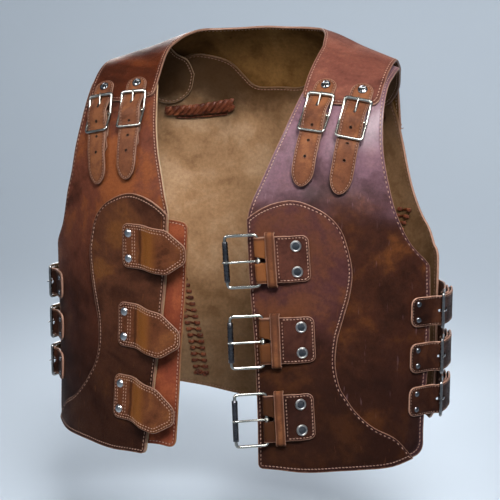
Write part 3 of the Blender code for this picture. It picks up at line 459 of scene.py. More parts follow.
def panelOutlines():
    edge = {name: smoothEdge(points) for name, points in cut.items()}

    def edges(*names):
        return [edge[name] for name in names]

    # the overlay ends on the hem, at the hem's point nearest to its own first point
    hem = np.array(edge["hem"])
    meeting = int(np.argmin(np.linalg.norm(hem - np.array(edge["overlay"][0]), axis=1)))
    start = [tuple(hem[meeting])] + edge["overlay"][1:]
    overlay = [edge["front"], [tuple(p) for p in hem[:meeting + 1]], start]
    return {
        "front": joinedEdges(edges("neck", "front", "hem", "side", "arm"), cornerRounding["front"]),
        "overlay": joinedEdges(overlay, cornerRounding["overlay"]),
        "yoke": bothHalves(edges("yokeNeck", "yokeFlap", "yokeArm", "yokeLow"), cornerRounding["yoke"]),
        "back": bothHalves(edges("backTop", "backArm", "backSide", "backHem"), cornerRounding["back"]),
        "placket": joinedEdges(edges("placketTop", "placketFree", "placketFoot", "placketInner"),
                               cornerRounding["placket"]),
    }


def ripple(across, run):
    # the slow, shallow waves of thick leather that has been worn
    return cutEdges["wave"] * (np.sin(across * 47 + run * 21 + 0.6) * np.sin(run * 33 - across * 9 + 1.1)
                               + 0.6 * np.sin(across * 83 - run * 61 + 2.0))


def tongueLift(across, run):
    nearCrest = 1 - fade(np.abs(run + 0.005), *leather["tongueRuns"])
    outer = fade(np.abs(across), *leather["tongueAcross"])
    return -leather["tongueDip"] * nearCrest * (0.35 + 0.65 * outer)


def yokeLift(across, run):
    rise = leather["yokeBackLift"] - leather["overlayLift"]
    return leather["overlayLift"] + rise * fade(-run, *leather["yokeRiseRuns"])


def steady(value):
    return lambda across, run: np.full(np.shape(across), value)


def panelPlace(lift, thickness, side=1):
    # u is the distance across, v the run, h the height over the middle of the leather
    def place(u, v, h):
        u, v = np.atleast_1d(np.asarray(u, float)), np.atleast_1d(np.asarray(v, float))
        across = u * side
        return lifted(across, v, lift(across, v) + thickness / 2 + ripple(across, v) + h)
    return place


def insetLoop(loop, distance):
    # the loop moved inwards
    area = np.sum(loop[:, 0] * np.roll(loop[:, 1], -1) - np.roll(loop[:, 0], -1) * loop[:, 1])
    turn = 1.0 if area > 0 else -1.0
    ahead = unit(np.roll(loop, -1, axis=0) - loop)
    behind = np.roll(ahead, 1, axis=0)
    normals = np.stack([-(ahead + behind)[:, 1], (ahead + behind)[:, 0]], axis=1)
    normals = unit(normals) * turn
    sideways = np.stack([-ahead[:, 1], ahead[:, 0]], axis=1) * turn
    mitre = np.clip((normals * sideways).sum(1), 0.55, 1.0)
    return loop + normals * (distance / mitre)[:, None]


def evenLoop(loop, step):
    closed = np.concatenate([loop, loop[:1]])
    length = np.concatenate([[0], np.cumsum(np.linalg.norm(np.diff(closed, axis=0), axis=1))])
    count = max(8, int(round(length[-1] / step)))
    at = np.linspace(0, length[-1], count, endpoint=False)
    return np.stack([np.interp(at, length, closed[:, k]) for k in (0, 1)], axis=1)


def loopDistance(points, loops):
    # how far each point is from the nearest line of the loops
    best = np.full(len(points), 1.0)
    for loop in loops:
        along = np.roll(loop, -1, axis=0) - loop
        squared = np.maximum((along ** 2).sum(1), 1e-14)
        for k in range(0, len(points), 1500):
            away = points[k:k + 1500, None] - loop[None]
            t = np.clip((away * along[None]).sum(2) / squared, 0, 1)
            gap = away - t[..., None] * along[None]
            best[k:k + 1500] = np.minimum(best[k:k + 1500], np.sqrt((gap ** 2).sum(2)).min(1))
    return best


def insideLoops(points, loops):
    odd = np.zeros(len(points), bool)
    for loop in loops:
        after = np.roll(loop, -1, axis=0)
        for (x1, y1), (x2, y2) in zip(loop, after):
            if y1 == y2:
                continue
            crossing = (y1 > points[:, 1]) != (y2 > points[:, 1])
            odd ^= crossing & (points[:, 0] < (x2 - x1) * (points[:, 1] - y1) / (y2 - y1) + x1)
    return odd


def cutNet(insets, inner):
    # triangles over the flat piece, open at its holes; back leads from each given point to the net's
    flat = np.concatenate(insets + inner)
    edges, start = [], 0
    for inset in insets:
        n = len(inset)
        edges += [(start + i, start + (i + 1) % n) for i in range(n)]
        start += n
    verts, _, faces, origins, *_ = delaunay_2d_cdt([Vector(p) for p in flat], edges, [], 1, 1e-7)
    back = {}
    for new, olds in enumerate(origins):
        for old in olds:
            back[old] = new
    net = np.array([tuple(v) for v in verts])
    triangles = np.array([tuple(f) for f in faces])
    centres = net[triangles].mean(axis=1)
    return net, triangles[~insideLoops(centres, insets[1:])], back


def leatherPiece(name, outline, place, thickness, materials, holes=(), step=3 * mm, spacing=7 * mm,
                 bevel=0.7 * mm, groove=cutEdges["panelGroove"], grooveDepth=0.35 * mm, bands=()):
    # one cut piece: grain face, flesh face, rounded cut edge and hole walls; bands are bent tightly
    outer = evenLoop(outline, step)
    loops = [outer] + [np.array(h) for h in holes]
    bevels = [bevel] + [min(bevel, cutEdges["holeBevel"])] * len(holes)
    signs = [1.0] + [-1.0] * len(holes)
    insets = [insetLoop(loop, b * s) for loop, b, s in zip(loops, bevels, signs)]
    depths = [cutEdges["firstRing"]]
    if grooveDepth:
        depths += [groove + step for step in cutEdges["grooveRings"]]
    rings = []
    for depth in depths:
        ring = insetLoop(outer, depth)
        rings.append(ring[loopDistance(ring, loops) > depth * 0.97])
    grid = innerPoints(outer, loops[1:], spacing, depths[-1], bands)
    net, triangles, back = cutNet(insets, rings + [grid])
    away = loopDistance(net, loops[:1])
    nearest = np.minimum(away, loopDistance(net, loops[1:]))
    dip = np.clip(1 - np.abs(away - groove) / mm, 0, 1) * grooveDepth
    softened = cutEdges["sink"] * np.clip(1 - nearest / cutEdges["sinkReach"], 0, 1) ** 2
    half = thickness / 2
    count = len(net)
    points = [place(net[:, 0], net[:, 1], half - dip - softened),
              place(net[:, 0], net[:, 1], -half + dip + softened)]
    distances, flats = [away, away], [net, net]
    quads, total, taken = [], 2 * count, 0
    for loop, b, sign in zip(loops, bevels, signs):
        n = len(loop)
        own = np.array([back[taken + i] for i in range(n)])
        taken += n
        shoulderLoop = insetLoop(loop, b * 0.3 * sign)
        levels = [(shoulderLoop, half - b * 0.3), (loop, half - b), (loop, -half + b),
                  (shoulderLoop, -half + b * 0.3)]
        chain = [own]
        for flatLoop, height in levels:
            points.append(place(flatLoop[:, 0], flatLoop[:, 1], np.full(n, height)))
            distances.append(np.zeros(n))
            flats.append(flatLoop)
            chain.append(np.arange(total, total + n))
            total += n
        chain.append(own + count)
        for first, second in zip(chain, chain[1:]):
            for i in range(n):
                j = (i + 1) % n
                quads.append((first[i], first[j], second[j], second[i]))
    points, distances, flats = (np.concatenate(part) for part in (points, distances, flats))
    a, b, c = (points[triangles[:, k]] for k in range(3))
    centres = net[triangles].mean(axis=1)
    over = place(centres[:, 0], centres[:, 1], np.full(len(triangles), half + mm))
    facing = np.einsum("ij,ij->i", np.cross(b - a, c - a), over - (a + b + c) / 3)
    if np.median(np.sign(facing)) < 0:
        triangles = triangles[:, ::-1]
    topFaces = [tuple(int(i) for i in t) for t in triangles]
    lowFaces = [tuple(int(i) + count for i in t[::-1]) for t in triangles]
    sideFaces = windedQuads(quads, loops, topFaces)
    wall = 5 * len(outer)
    kinds = [0] * len(topFaces) + [1] * len(lowFaces) + [2] * wall + [3] * (len(sideFaces) - wall)
    piece = meshPiece(name, points, topFaces + lowFaces + sideFaces,
                      materials + ([finish["hole"]] if holes else []), kinds)
    mesh = piece.data
    attribute = mesh.attributes.new("edge", "FLOAT", "POINT")
    attribute.data.foreach_set("value", (distances / mm).astype(np.float32))
    layer = mesh.uv_layers.new(name="Cut")
    loopVerts = np.zeros(len(mesh.loops), np.int32)
    mesh.loops.foreach_get("vertex_index", loopVerts)
    layer.data.foreach_set("uv", flats[loopVerts].astype(np.float32).ravel())
    return piece


# the closer net along a band, where the leather folds
bandNet = {"rows": 3 * mm, "columns": 1.0 * mm, "edgeGap": 0.6 * mm, "holeGap": 0.9 * mm}


def innerPoints(outer, holes, spacing, border, bands):
    # an even net of places inside a cut piece, closer along the bands
    low, high = outer.min(0), outer.max(0)
    plain, close = [], []
    for number, v in enumerate(np.arange(low[1], high[1], spacing * 0.87)):
        across = np.arange(low[0] + (number % 2) * spacing / 2, high[0], spacing)
        for first, last in bands:
            across = across[(across < first) | (across > last)]
        plain.append(np.stack([across, np.full(len(across), v)], axis=1))
    for first, last in bands:
        for number, v in enumerate(np.arange(low[1], high[1], bandNet["rows"])):
            start = first + (number % 2) * bandNet["columns"] / 2
            across = np.arange(start, last, bandNet["columns"])
            close.append(np.stack([across, np.full(len(across), v)], axis=1))
    kept = []
    for rows, edgeGap, holeGap in ((plain, border + 0.45 * spacing, 0.5 * spacing),
                                   (close, border + bandNet["edgeGap"], bandNet["holeGap"])):
        if not rows:
            continue
        spots = np.concatenate(rows)
        spots = spots[insideLoops(spots, [outer] + holes)]
        spots = spots[loopDistance(spots, [outer]) > edgeGap]
        kept.append(spots[loopDistance(spots, holes) > holeGap])
    return np.concatenate(kept)


def windedQuads(quads, loops, topFaces):
    # the edge strips run the way that the grain face's border runs
    border = {(face[i], face[(i + 1) % 3]) for face in topFaces for i in range(3)}
    result, start = [], 0
    for loop in loops:
        rows = quads[start:start + 5 * len(loop)]
        start += 5 * len(loop)
        forward = (rows[0][0], rows[0][1]) in border
        result += [tuple(int(i) for i in (q[::-1] if forward else q)) for q in rows]
    return result


print("builders ready")

# finishes

# the dark, the body and the warm tone of each leather
toneSets = {
    "low": ((0.014, 0.0042, 0.0022), (0.040, 0.0120, 0.0058), (0.105, 0.0330, 0.0090)),
    # the next tones paint shade on the yoke's side away from the light, and colour the lacing's rungs
    "wornAndShaded": ((0.028, 0.0070, 0.0030), (0.058, 0.0125, 0.0042), (0.110, 0.0260, 0.0070)),
    "front": ((0.034, 0.0100, 0.0060), (0.120, 0.0350, 0.0190), (0.230, 0.0680, 0.0190)),
    # the chest's tones hold a painted purple highlight over the leather's own brown
    "chest": ((0.070, 0.0290, 0.0360), (0.175, 0.0900, 0.1150), (0.230, 0.1260, 0.1400)),
    "olive": ((0.026, 0.0085, 0.0045), (0.082, 0.0280, 0.0135), (0.170, 0.0620, 0.0170)),
    "amber": ((0.030, 0.0100, 0.0100), (0.072, 0.0250, 0.0240), (0.120, 0.0420, 0.0190)),
    "yoke": ((0.055, 0.0160, 0.0110), (0.125, 0.0400, 0.0270), (0.210, 0.0760, 0.0480)),
    "strap": ((0.060, 0.0210, 0.0110), (0.140, 0.0500, 0.0230), (0.225, 0.0860, 0.0340)),
    "tab": ((0.040, 0.0130, 0.0090), (0.088, 0.0300, 0.0200), (0.155, 0.0560, 0.0310)),
    "billet": ((0.048, 0.0140, 0.0060), (0.115, 0.0370, 0.0150), (0.190, 0.0680, 0.0220)),
    "side": ((0.012, 0.0040, 0.0024), (0.030, 0.0100, 0.0055), (0.065, 0.0220, 0.0100)),
    "placket": ((0.090, 0.0210, 0.0110), (0.190, 0.0440, 0.0210), (0.300, 0.0800, 0.0320)),
    "flesh": ((0.160, 0.0780, 0.0300), (0.430, 0.2450, 0.1250), (0.600, 0.3800, 0.2200)),
    "under": ((0.085, 0.0380, 0.0100), (0.220, 0.1080, 0.0320), (0.350, 0.1850, 0.0600)),
    "thong": ((0.030, 0.0080, 0.0040), (0.110, 0.0290, 0.0130), (0.230, 0.0720, 0.0300)),
}
palette = {
    "foldBend": (0.210, 0.0740, 0.0220),
    "cutEdge": (0.260, 0.1350, 0.0880),
    "cutEdgePink": (0.360, 0.1950, 0.1350),
    "cutEdgeAmber": (0.260, 0.1100, 0.0360),
    "cutEdgePale": (0.430, 0.2900, 0.1650),
    "cutEdgeDark": (0.150, 0.0680, 0.0400),
    # the dark colour of the painted shade on the flesh side
    "soilAndShade": (0.030, 0.0125, 0.0035),
    "thread": (0.400, 0.2400, 0.1750),
    "threadSoiled": (0.170, 0.0780, 0.0520),
}


def newGroup(name, inputs, outputs):
    group = bpy.data.node_groups.new(name, "ShaderNodeTree")
    # an input's kind follows from its starting value: a number, a vector of three or a colour of four
    for label, value in inputs.items():
        kind = "Float" if isinstance(value, float) else "Vector" if len(value) == 3 else "Color"
        socket = group.interface.new_socket(label, in_out="INPUT", socket_type="NodeSocket" + kind)
        socket.default_value = value
    for label, kind in outputs.items():
        group.interface.new_socket(label, in_out="OUTPUT", socket_type="NodeSocket" + kind)
    return group, group.nodes.new("NodeGroupInput").outputs, group.nodes.new("NodeGroupOutput").inputs


class Wiring:
    # short names for adding and joining nodes in one tree
    def __init__(self, tree):
        self.tree = tree

    def add(self, kind, **settings):
        node = self.tree.nodes.new(kind)
        for key, value in settings.items():
            setattr(node, key, value)
        return node

    def join(self, source, target):
        self.tree.links.new(source, target)

    def noise(self, vector, scale, detail=3.0, rough=0.55, distortion=0.0):
        node = self.add("ShaderNodeTexNoise")
        self.feed(node.inputs["Vector"], vector)
        self.feed(node.inputs["Scale"], scale)
        node.inputs["Detail"].default_value = detail
        node.inputs["Roughness"].default_value = rough
        node.inputs["Distortion"].default_value = distortion
        return node.outputs["Fac"]

    def feed(self, socket, value):
        if isinstance(value, bpy.types.NodeSocket):
            self.join(value, socket)
        elif hasattr(value, "__len__") and len(value) == 3 and socket.type == "RGBA":
            socket.default_value = (*value, 1.0)
        else:
            socket.default_value = value

    def math(self, operation, first, second=0.0, clamp=False):
        node = self.add("ShaderNodeMath", operation=operation, use_clamp=clamp)
        self.feed(node.inputs[0], first)
        self.feed(node.inputs[1], second)
        return node.outputs[0]

    def times(self, first, second):
        return self.math("MULTIPLY", first, second)

    def plus(self, first, second):
        return self.math("ADD", first, second)

    def minus(self, first, second):
        return self.math("SUBTRACT", first, second)

    def split(self, vector):
        node = self.add("ShaderNodeSeparateXYZ")
        self.join(vector, node.inputs[0])
        return node.outputs

    def moved(self, vector, offset):
        node = self.add("ShaderNodeMapping")
        node.inputs["Location"].default_value = offset
        self.join(vector, node.inputs["Vector"])
        return node.outputs["Vector"]

    def ramp(self, value, low, high, first=0.0, last=1.0):
        node = self.add("ShaderNodeMapRange", interpolation_type="SMOOTHSTEP")
        self.feed(node.inputs["Value"], value)
        limits = {"From Min": low, "From Max": high, "To Min": first, "To Max": last}
        for label, limit in limits.items():
            self.feed(node.inputs[label], limit)
        return node.outputs["Result"]

    def mix(self, factor, first, second, blend="MIX"):
        node = self.add("ShaderNodeMix", data_type="RGBA", blend_type=blend)
        self.feed(node.inputs["Factor"], factor)
        self.feed(node.inputs[6], first)
        self.feed(node.inputs[7], second)
        return node.outputs[2]


def mottleGroup():
    # slow patches of two further tones over a body colour, with a finer cloud in them
    group, given, out = newGroup(
        "leatherMottle",
        {"Vector": (0, 0, 0), "Body": (0.1, 0.04, 0.03, 1), "Dark": (0.03, 0.01, 0.01, 1),
         "Warm": (0.2, 0.08, 0.04, 1), "Patch Scale": 9.0, "Dark Amount": 0.6, "Warm Amount": 0.6},
        {"Color": "Color", "Patches": "Float"})
    w = Wiring(group)
    slow = w.noise(given["Vector"], given["Patch Scale"], 3.0, 0.62, 0.9)
    fine = w.noise(given["Vector"], w.times(given["Patch Scale"], 5.3), 5.0, 0.68)
    speck = w.noise(given["Vector"], w.times(given["Patch Scale"], 30.0), 3.0, 0.7)
    cloud = w.plus(w.times(slow, 0.72), w.times(fine, 0.28))
    dark = w.times(w.ramp(cloud, 0.50, 0.37), given["Dark Amount"])
    warm = w.times(w.ramp(cloud, 0.49, 0.62), given["Warm Amount"])
    colour = w.mix(dark, given["Body"], given["Dark"])
    colour = w.mix(warm, colour, given["Warm"])
    shade = w.ramp(speck, 0.25, 0.75, 0.84, 1.14)
    grey = w.add("ShaderNodeCombineColor")
    for k in range(3):
        w.join(shade, grey.inputs[k])
    w.join(w.mix(1.0, colour, grey.outputs[0], "MULTIPLY"), out["Color"])
    w.join(cloud, out["Patches"])
    return group


def grainGroup():
    # pores, creases and soft dents of a hide as one height
    group, given, out = newGroup(
        "hideGrain",
        {"Vector": (0, 0, 0), "Pore Scale": 900.0, "Pore Depth": 0.5, "Crease Depth": 0.5,
         "Dent Depth": 0.5},
        {"Height": "Float"})
    w = Wiring(group)
    cells = w.add("ShaderNodeTexVoronoi", feature="DISTANCE_TO_EDGE")
    w.join(given["Vector"], cells.inputs["Vector"])
    w.join(given["Pore Scale"], cells.inputs["Scale"])
    pores = w.ramp(cells.outputs["Distance"], 0.0, 0.22)
    pores = w.times(w.minus(pores, 1.0), given["Pore Depth"])
    fold = w.noise(given["Vector"], w.times(given["Pore Scale"], 0.11), 4.0, 0.6, 1.4)
    crease = w.ramp(w.math("ABSOLUTE", w.minus(fold, 0.5)), 0.0, 0.045)
    creases = w.times(w.minus(crease, 1.0), given["Crease Depth"])
    dents = w.noise(given["Vector"], w.times(given["Pore Scale"], 0.035), 2.0, 0.5)
    dents = w.times(dents, given["Dent Depth"])
    w.join(w.plus(w.plus(pores, creases), dents), out["Height"])
    return group


def wearAndShadeGroup():
    # how much a place near a cut edge is rubbed pale, how much painted shade lies in its sewn groove,
    # and how much its border is dark with wax
    group, given, out = newGroup(
        "edgeWearAndGrooveShade",
        {"Distance": 10.0, "Vector": (0, 0, 0), "Rub Width": 1.3, "Groove Place": 3.6},
        {"Rub": "Float", "Groove": "Float", "Border": "Float"})
    w = Wiring(group)
    ragged = w.noise(given["Vector"], 160.0, 3.0, 0.6)
    width = w.times(given["Rub Width"], w.ramp(ragged, 0.2, 0.8, 0.35, 1.6))
    rub = w.math("SUBTRACT", 1.0, w.math("DIVIDE", given["Distance"], width), True)
    # the groove output is painted shade along the sewn groove
    gap = w.math("ABSOLUTE", w.minus(given["Distance"], given["Groove Place"]))
    groove = w.ramp(gap, 1.1, 0.3)
    border = w.ramp(given["Distance"], 7.0, 1.0)
    w.join(rub, out["Rub"])
    w.join(groove, out["Groove"])
    w.join(border, out["Border"])
    return group


groups = {"mottle": mottleGroup(), "grain": grainGroup(), "wearAndShade": wearAndShadeGroup()}


def newMaterial(name):
    material = bpy.data.materials.new(name)
    material.use_nodes = True
    wiring = Wiring(material.node_tree)
    shader = material.node_tree.nodes["Principled BSDF"]
    place = wiring.add("ShaderNodeTexCoord").outputs["Object"]
    return material, wiring, shader, place


def placeGroup(wiring, key, **values):
    node = wiring.add("ShaderNodeGroup")
    node.node_tree = groups[key]
    for label, value in values.items():
        wiring.feed(node.inputs[label.replace("_", " ")], value)
    return node


def bump(wiring, shader, height, strength, distance):
    node = wiring.add("ShaderNodeBump")
    node.inputs["Strength"].default_value = strength
    node.inputs["Distance"].default_value = distance
    wiring.feed(node.inputs["Height"], height)
    wiring.join(node.outputs["Normal"], shader.inputs["Normal"])


def grainLeather(name, stem, patchScale=9.0, darkAmount=0.8, warmAmount=0.7, roughness=(0.38, 0.58),
                 coat=0.04, rubWidth=1.3, groovePlace=3.6, offset=(0, 0, 0), darkening=(), sheen=0.0,
                 bands=(), drift=(), polish=(), wornAndShaded=True):
    # bands are stretches of the flat piece in another tone: start, end, softness, tone and amount;
    # drift turns to another set of tones along an axis; the downward darkening mixes in a darker tone
    # towards the bottom, polish shines upwards; the last flag adds rubbed cut edges, dark waxed borders
    # and painted shade in the sewn groove
    dark, body, warm = toneSets[stem]
    material, w, shader, place = newMaterial(name)
    vector = w.moved(place, offset)
    distance = w.add("ShaderNodeAttribute", attribute_name="edge").outputs["Fac"]
    mottle = placeGroup(w, "mottle", Vector=vector, Body=body, Dark=dark, Warm=warm,
                        Patch_Scale=patchScale, Dark_Amount=darkAmount, Warm_Amount=warmAmount)
    grain = placeGroup(w, "grain", Vector=vector, Pore_Scale=1000.0, Pore_Depth=0.35, Crease_Depth=0.30,
                       Dent_Depth=1.2)
    wearAndShade = placeGroup(w, "wearAndShade", Distance=distance, Vector=vector, Rub_Width=rubWidth,
                      Groove_Place=groovePlace)
    colour = mottle.outputs["Color"]
    spread = w.split(place)
    wander = w.times(w.noise(vector, 11.0, 4.0, 0.6, 0.4), 0.20)
    if drift:
        otherStem, axis, start, end = drift
        farDark, farBody, farWarm = toneSets[otherStem]
        far = placeGroup(w, "mottle", Vector=vector, Body=farBody, Dark=farDark, Warm=farWarm,
                         Patch_Scale=patchScale, Dark_Amount=darkAmount, Warm_Amount=1.0)
        share = w.ramp(w.plus(spread[axis], wander), start + 0.1, end + 0.1)
        colour = w.mix(share, colour, far.outputs["Color"])
    if bands:
        flat = w.split(w.add("ShaderNodeUVMap", uv_map="Cut").outputs["UV"])
        uneven = w.plus(flat["X"], w.times(w.noise(vector, 60.0, 3.0), 0.006))
    for start, end, soft, tone, amount in bands:
        inside = w.times(w.ramp(uneven, start + 0.003 - soft, start + 0.003 + soft),
                        w.ramp(uneven, end + 0.003 + soft, end + 0.003 - soft))
        colour = w.mix(w.times(inside, amount), colour, tone)
    # darker towards the bottom, between the two given heights
    if darkening:
        amount, start, end = darkening
        low = w.ramp(w.plus(spread["Z"], wander), start + 0.1, end + 0.1)
        colour = w.mix(w.times(low, amount), colour, toneSets["low"][0])
    if wornAndShaded:
        colour = w.mix(w.times(wearAndShade.outputs["Border"], 0.45), colour, dark)
        # painted shade in the sewn groove
        colour = w.mix(w.times(wearAndShade.outputs["Groove"], 0.60), colour, dark)
        colour = w.mix(w.ramp(wearAndShade.outputs["Rub"], 0.0, 0.7, 0.0, 0.85), colour, palette["cutEdge"])
    scratch = w.add("ShaderNodeMapping")
    scratch.inputs["Scale"].default_value = (260, 260, 34)
    scratch.inputs["Rotation"].default_value = (0.3, 0.5, 0.2)
    w.join(vector, scratch.inputs["Vector"])
    lines = w.ramp(w.noise(scratch.outputs["Vector"], 1.0, 2.0, 0.5), 0.67, 0.77, 0.0, 0.30)
    colour = w.mix(lines, colour, warm)
    w.join(colour, shader.inputs["Base Color"])
    rough = w.ramp(mottle.outputs["Patches"], 0.35, 0.65, roughness[1], roughness[0])
    w.join(rough, shader.inputs["Roughness"])
    shader.inputs["Specular IOR Level"].default_value = 0.06
    if polish:
        amount, start, end = polish
        w.join(w.ramp(spread["Z"], start, end, 0.02, amount), shader.inputs["Coat Weight"])
    else:
        shader.inputs["Coat Weight"].default_value = coat
    shader.inputs["Coat Roughness"].default_value = 0.32
    shader.inputs["Sheen Weight"].default_value = sheen
    shader.inputs["Sheen Roughness"].default_value = 0.45
    shader.inputs["Sheen Tint"].default_value = (0.80, 0.62, 0.82, 1.0)
    bump(w, shader, grain.outputs["Height"], 0.55, 0.0006)
    return material


def fleshLeather(name, stem, darkening=0.5, offset=(0, 0, 0), soilAndShade=()):
    # the last argument darkens the flesh side, and the finishes below use it for painted shade;
    # each entry gives its amount, the heights between which it grows, and the span across
    dark, body, warm = toneSets[stem]
    material, w, shader, place = newMaterial(name)
    vector = w.moved(place, offset)
    distance = w.add("ShaderNodeAttribute", attribute_name="edge").outputs["Fac"]
    mottle = placeGroup(w, "mottle", Vector=vector, Body=body, Dark=dark, Warm=warm,
                        Patch_Scale=7.0, Dark_Amount=darkening, Warm_Amount=0.8)
    wearAndShade = placeGroup(w, "wearAndShade", Distance=distance, Vector=vector, Rub_Width=2.2, Groove_Place=3.6)
    blot = w.ramp(w.noise(vector, 26.0, 5.0, 0.7, 0.6), 0.60, 0.74, 0.0, darkening)
    colour = w.mix(blot, mottle.outputs["Color"], dark)
    spread = w.split(place)
    wander = w.times(w.minus(w.noise(vector, 15.0, 4.0, 0.6), 0.5), 0.10)
    # darker between two heights and more so towards one side; the finishes use this for painted shade
    for amount, start, end, clear, full in soilAndShade:
        level = w.ramp(w.plus(spread["Z"], wander), start, end)
        share = w.ramp(w.plus(spread["X"], wander), clear, full, 0.45, 1.0)
        colour = w.mix(w.times(w.times(level, share), amount), colour, palette["soilAndShade"])
    # painted shade in the sewn groove
    colour = w.mix(w.times(wearAndShade.outputs["Groove"], 0.35), colour, dark)
    colour = w.mix(w.times(wearAndShade.outputs["Rub"], 0.5), colour, palette["cutEdge"])
    w.join(colour, shader.inputs["Base Color"])
    shader.inputs["Roughness"].default_value = 0.9
    shader.inputs["Specular IOR Level"].default_value = 0.04
    nap = w.noise(vector, 620.0, 4.0, 0.7)
    fibre = w.noise(vector, 1900.0, 2.0, 0.6)
    height = w.plus(w.times(nap, 0.8), w.times(fibre, 0.4))
    bump(w, shader, height, 0.6, 0.0006)
    return material


def cutEdgeLeather(name, tone, dark, shadedAbove=()):
    material, w, shader, place = newMaterial(name)
    layers = w.noise(place, 420.0, 4.0, 0.7)
    slow = w.noise(place, 34.0, 3.0, 0.6)
    colour = w.mix(w.ramp(layers, 0.35, 0.75, 0.0, 0.55), tone, dark)
    colour = w.mix(w.ramp(slow, 0.52, 0.72, 0.0, 0.55), colour, dark)
    # painted shade: the cut edge goes darker above the given heights
    if shadedAbove:
        high = w.ramp(w.split(place)["Z"], *shadedAbove)
        colour = w.mix(high, colour, toneSets["under"][0])
    w.join(colour, shader.inputs["Base Color"])
    w.join(w.ramp(slow, 0.3, 0.7, 0.42, 0.62), shader.inputs["Roughness"])
    shader.inputs["Specular IOR Level"].default_value = 0.4
    bump(w, shader, layers, 0.4, 0.0004)
    return material


def waxedThread(name, soiled):
    material, w, shader, place = newMaterial(name)
    twist = w.noise(place, 1500.0, 2.0, 0.6)
    soilAndShade = w.noise(place, 40.0, 3.0, 0.6)
    clean = w.mix(soiled, palette["thread"], palette["threadSoiled"])
    colour = w.mix(w.ramp(twist, 0.3, 0.7, 0.0, 0.35), clean, palette["threadSoiled"])
    colour = w.mix(w.ramp(soilAndShade, 0.50, 0.68, 0.0, 0.75), colour, palette["threadSoiled"])
    w.join(colour, shader.inputs["Base Color"])
    shader.inputs["Roughness"].default_value = 0.6
    bump(w, shader, twist, 0.5, 0.0002)
    return material


def plainMetal(name, tone, roughness, soilAndShade=0.4, darkTone=(0.10, 0.09, 0.08)):
    material, w, shader, place = newMaterial(name)
    rub = w.noise(place, 260.0, 4.0, 0.65)
    slow = w.noise(place, 60.0, 3.0, 0.6)
    colour = w.mix(w.ramp(slow, 0.5, 0.75, 0.0, soilAndShade), tone, darkTone)
    w.join(colour, shader.inputs["Base Color"])
    shader.inputs["Metallic"].default_value = 1.0
    w.join(w.ramp(rub, 0.3, 0.7, roughness[0], roughness[1]), shader.inputs["Roughness"])
    bump(w, shader, slow, 0.06, 0.0003)
    return material


# the billets' bands are painted light at their bend: an amber painted highlight where the leather bulges out, and a
# dark painted shade in the crease before it
billetBendHighlightAndShade = ((0.033, 0.056, 0.009, (0.230, 0.0780, 0.0150), 0.85),
                (0.0270, 0.0320, 0.0013, toneSets["billet"][0], 0.75))
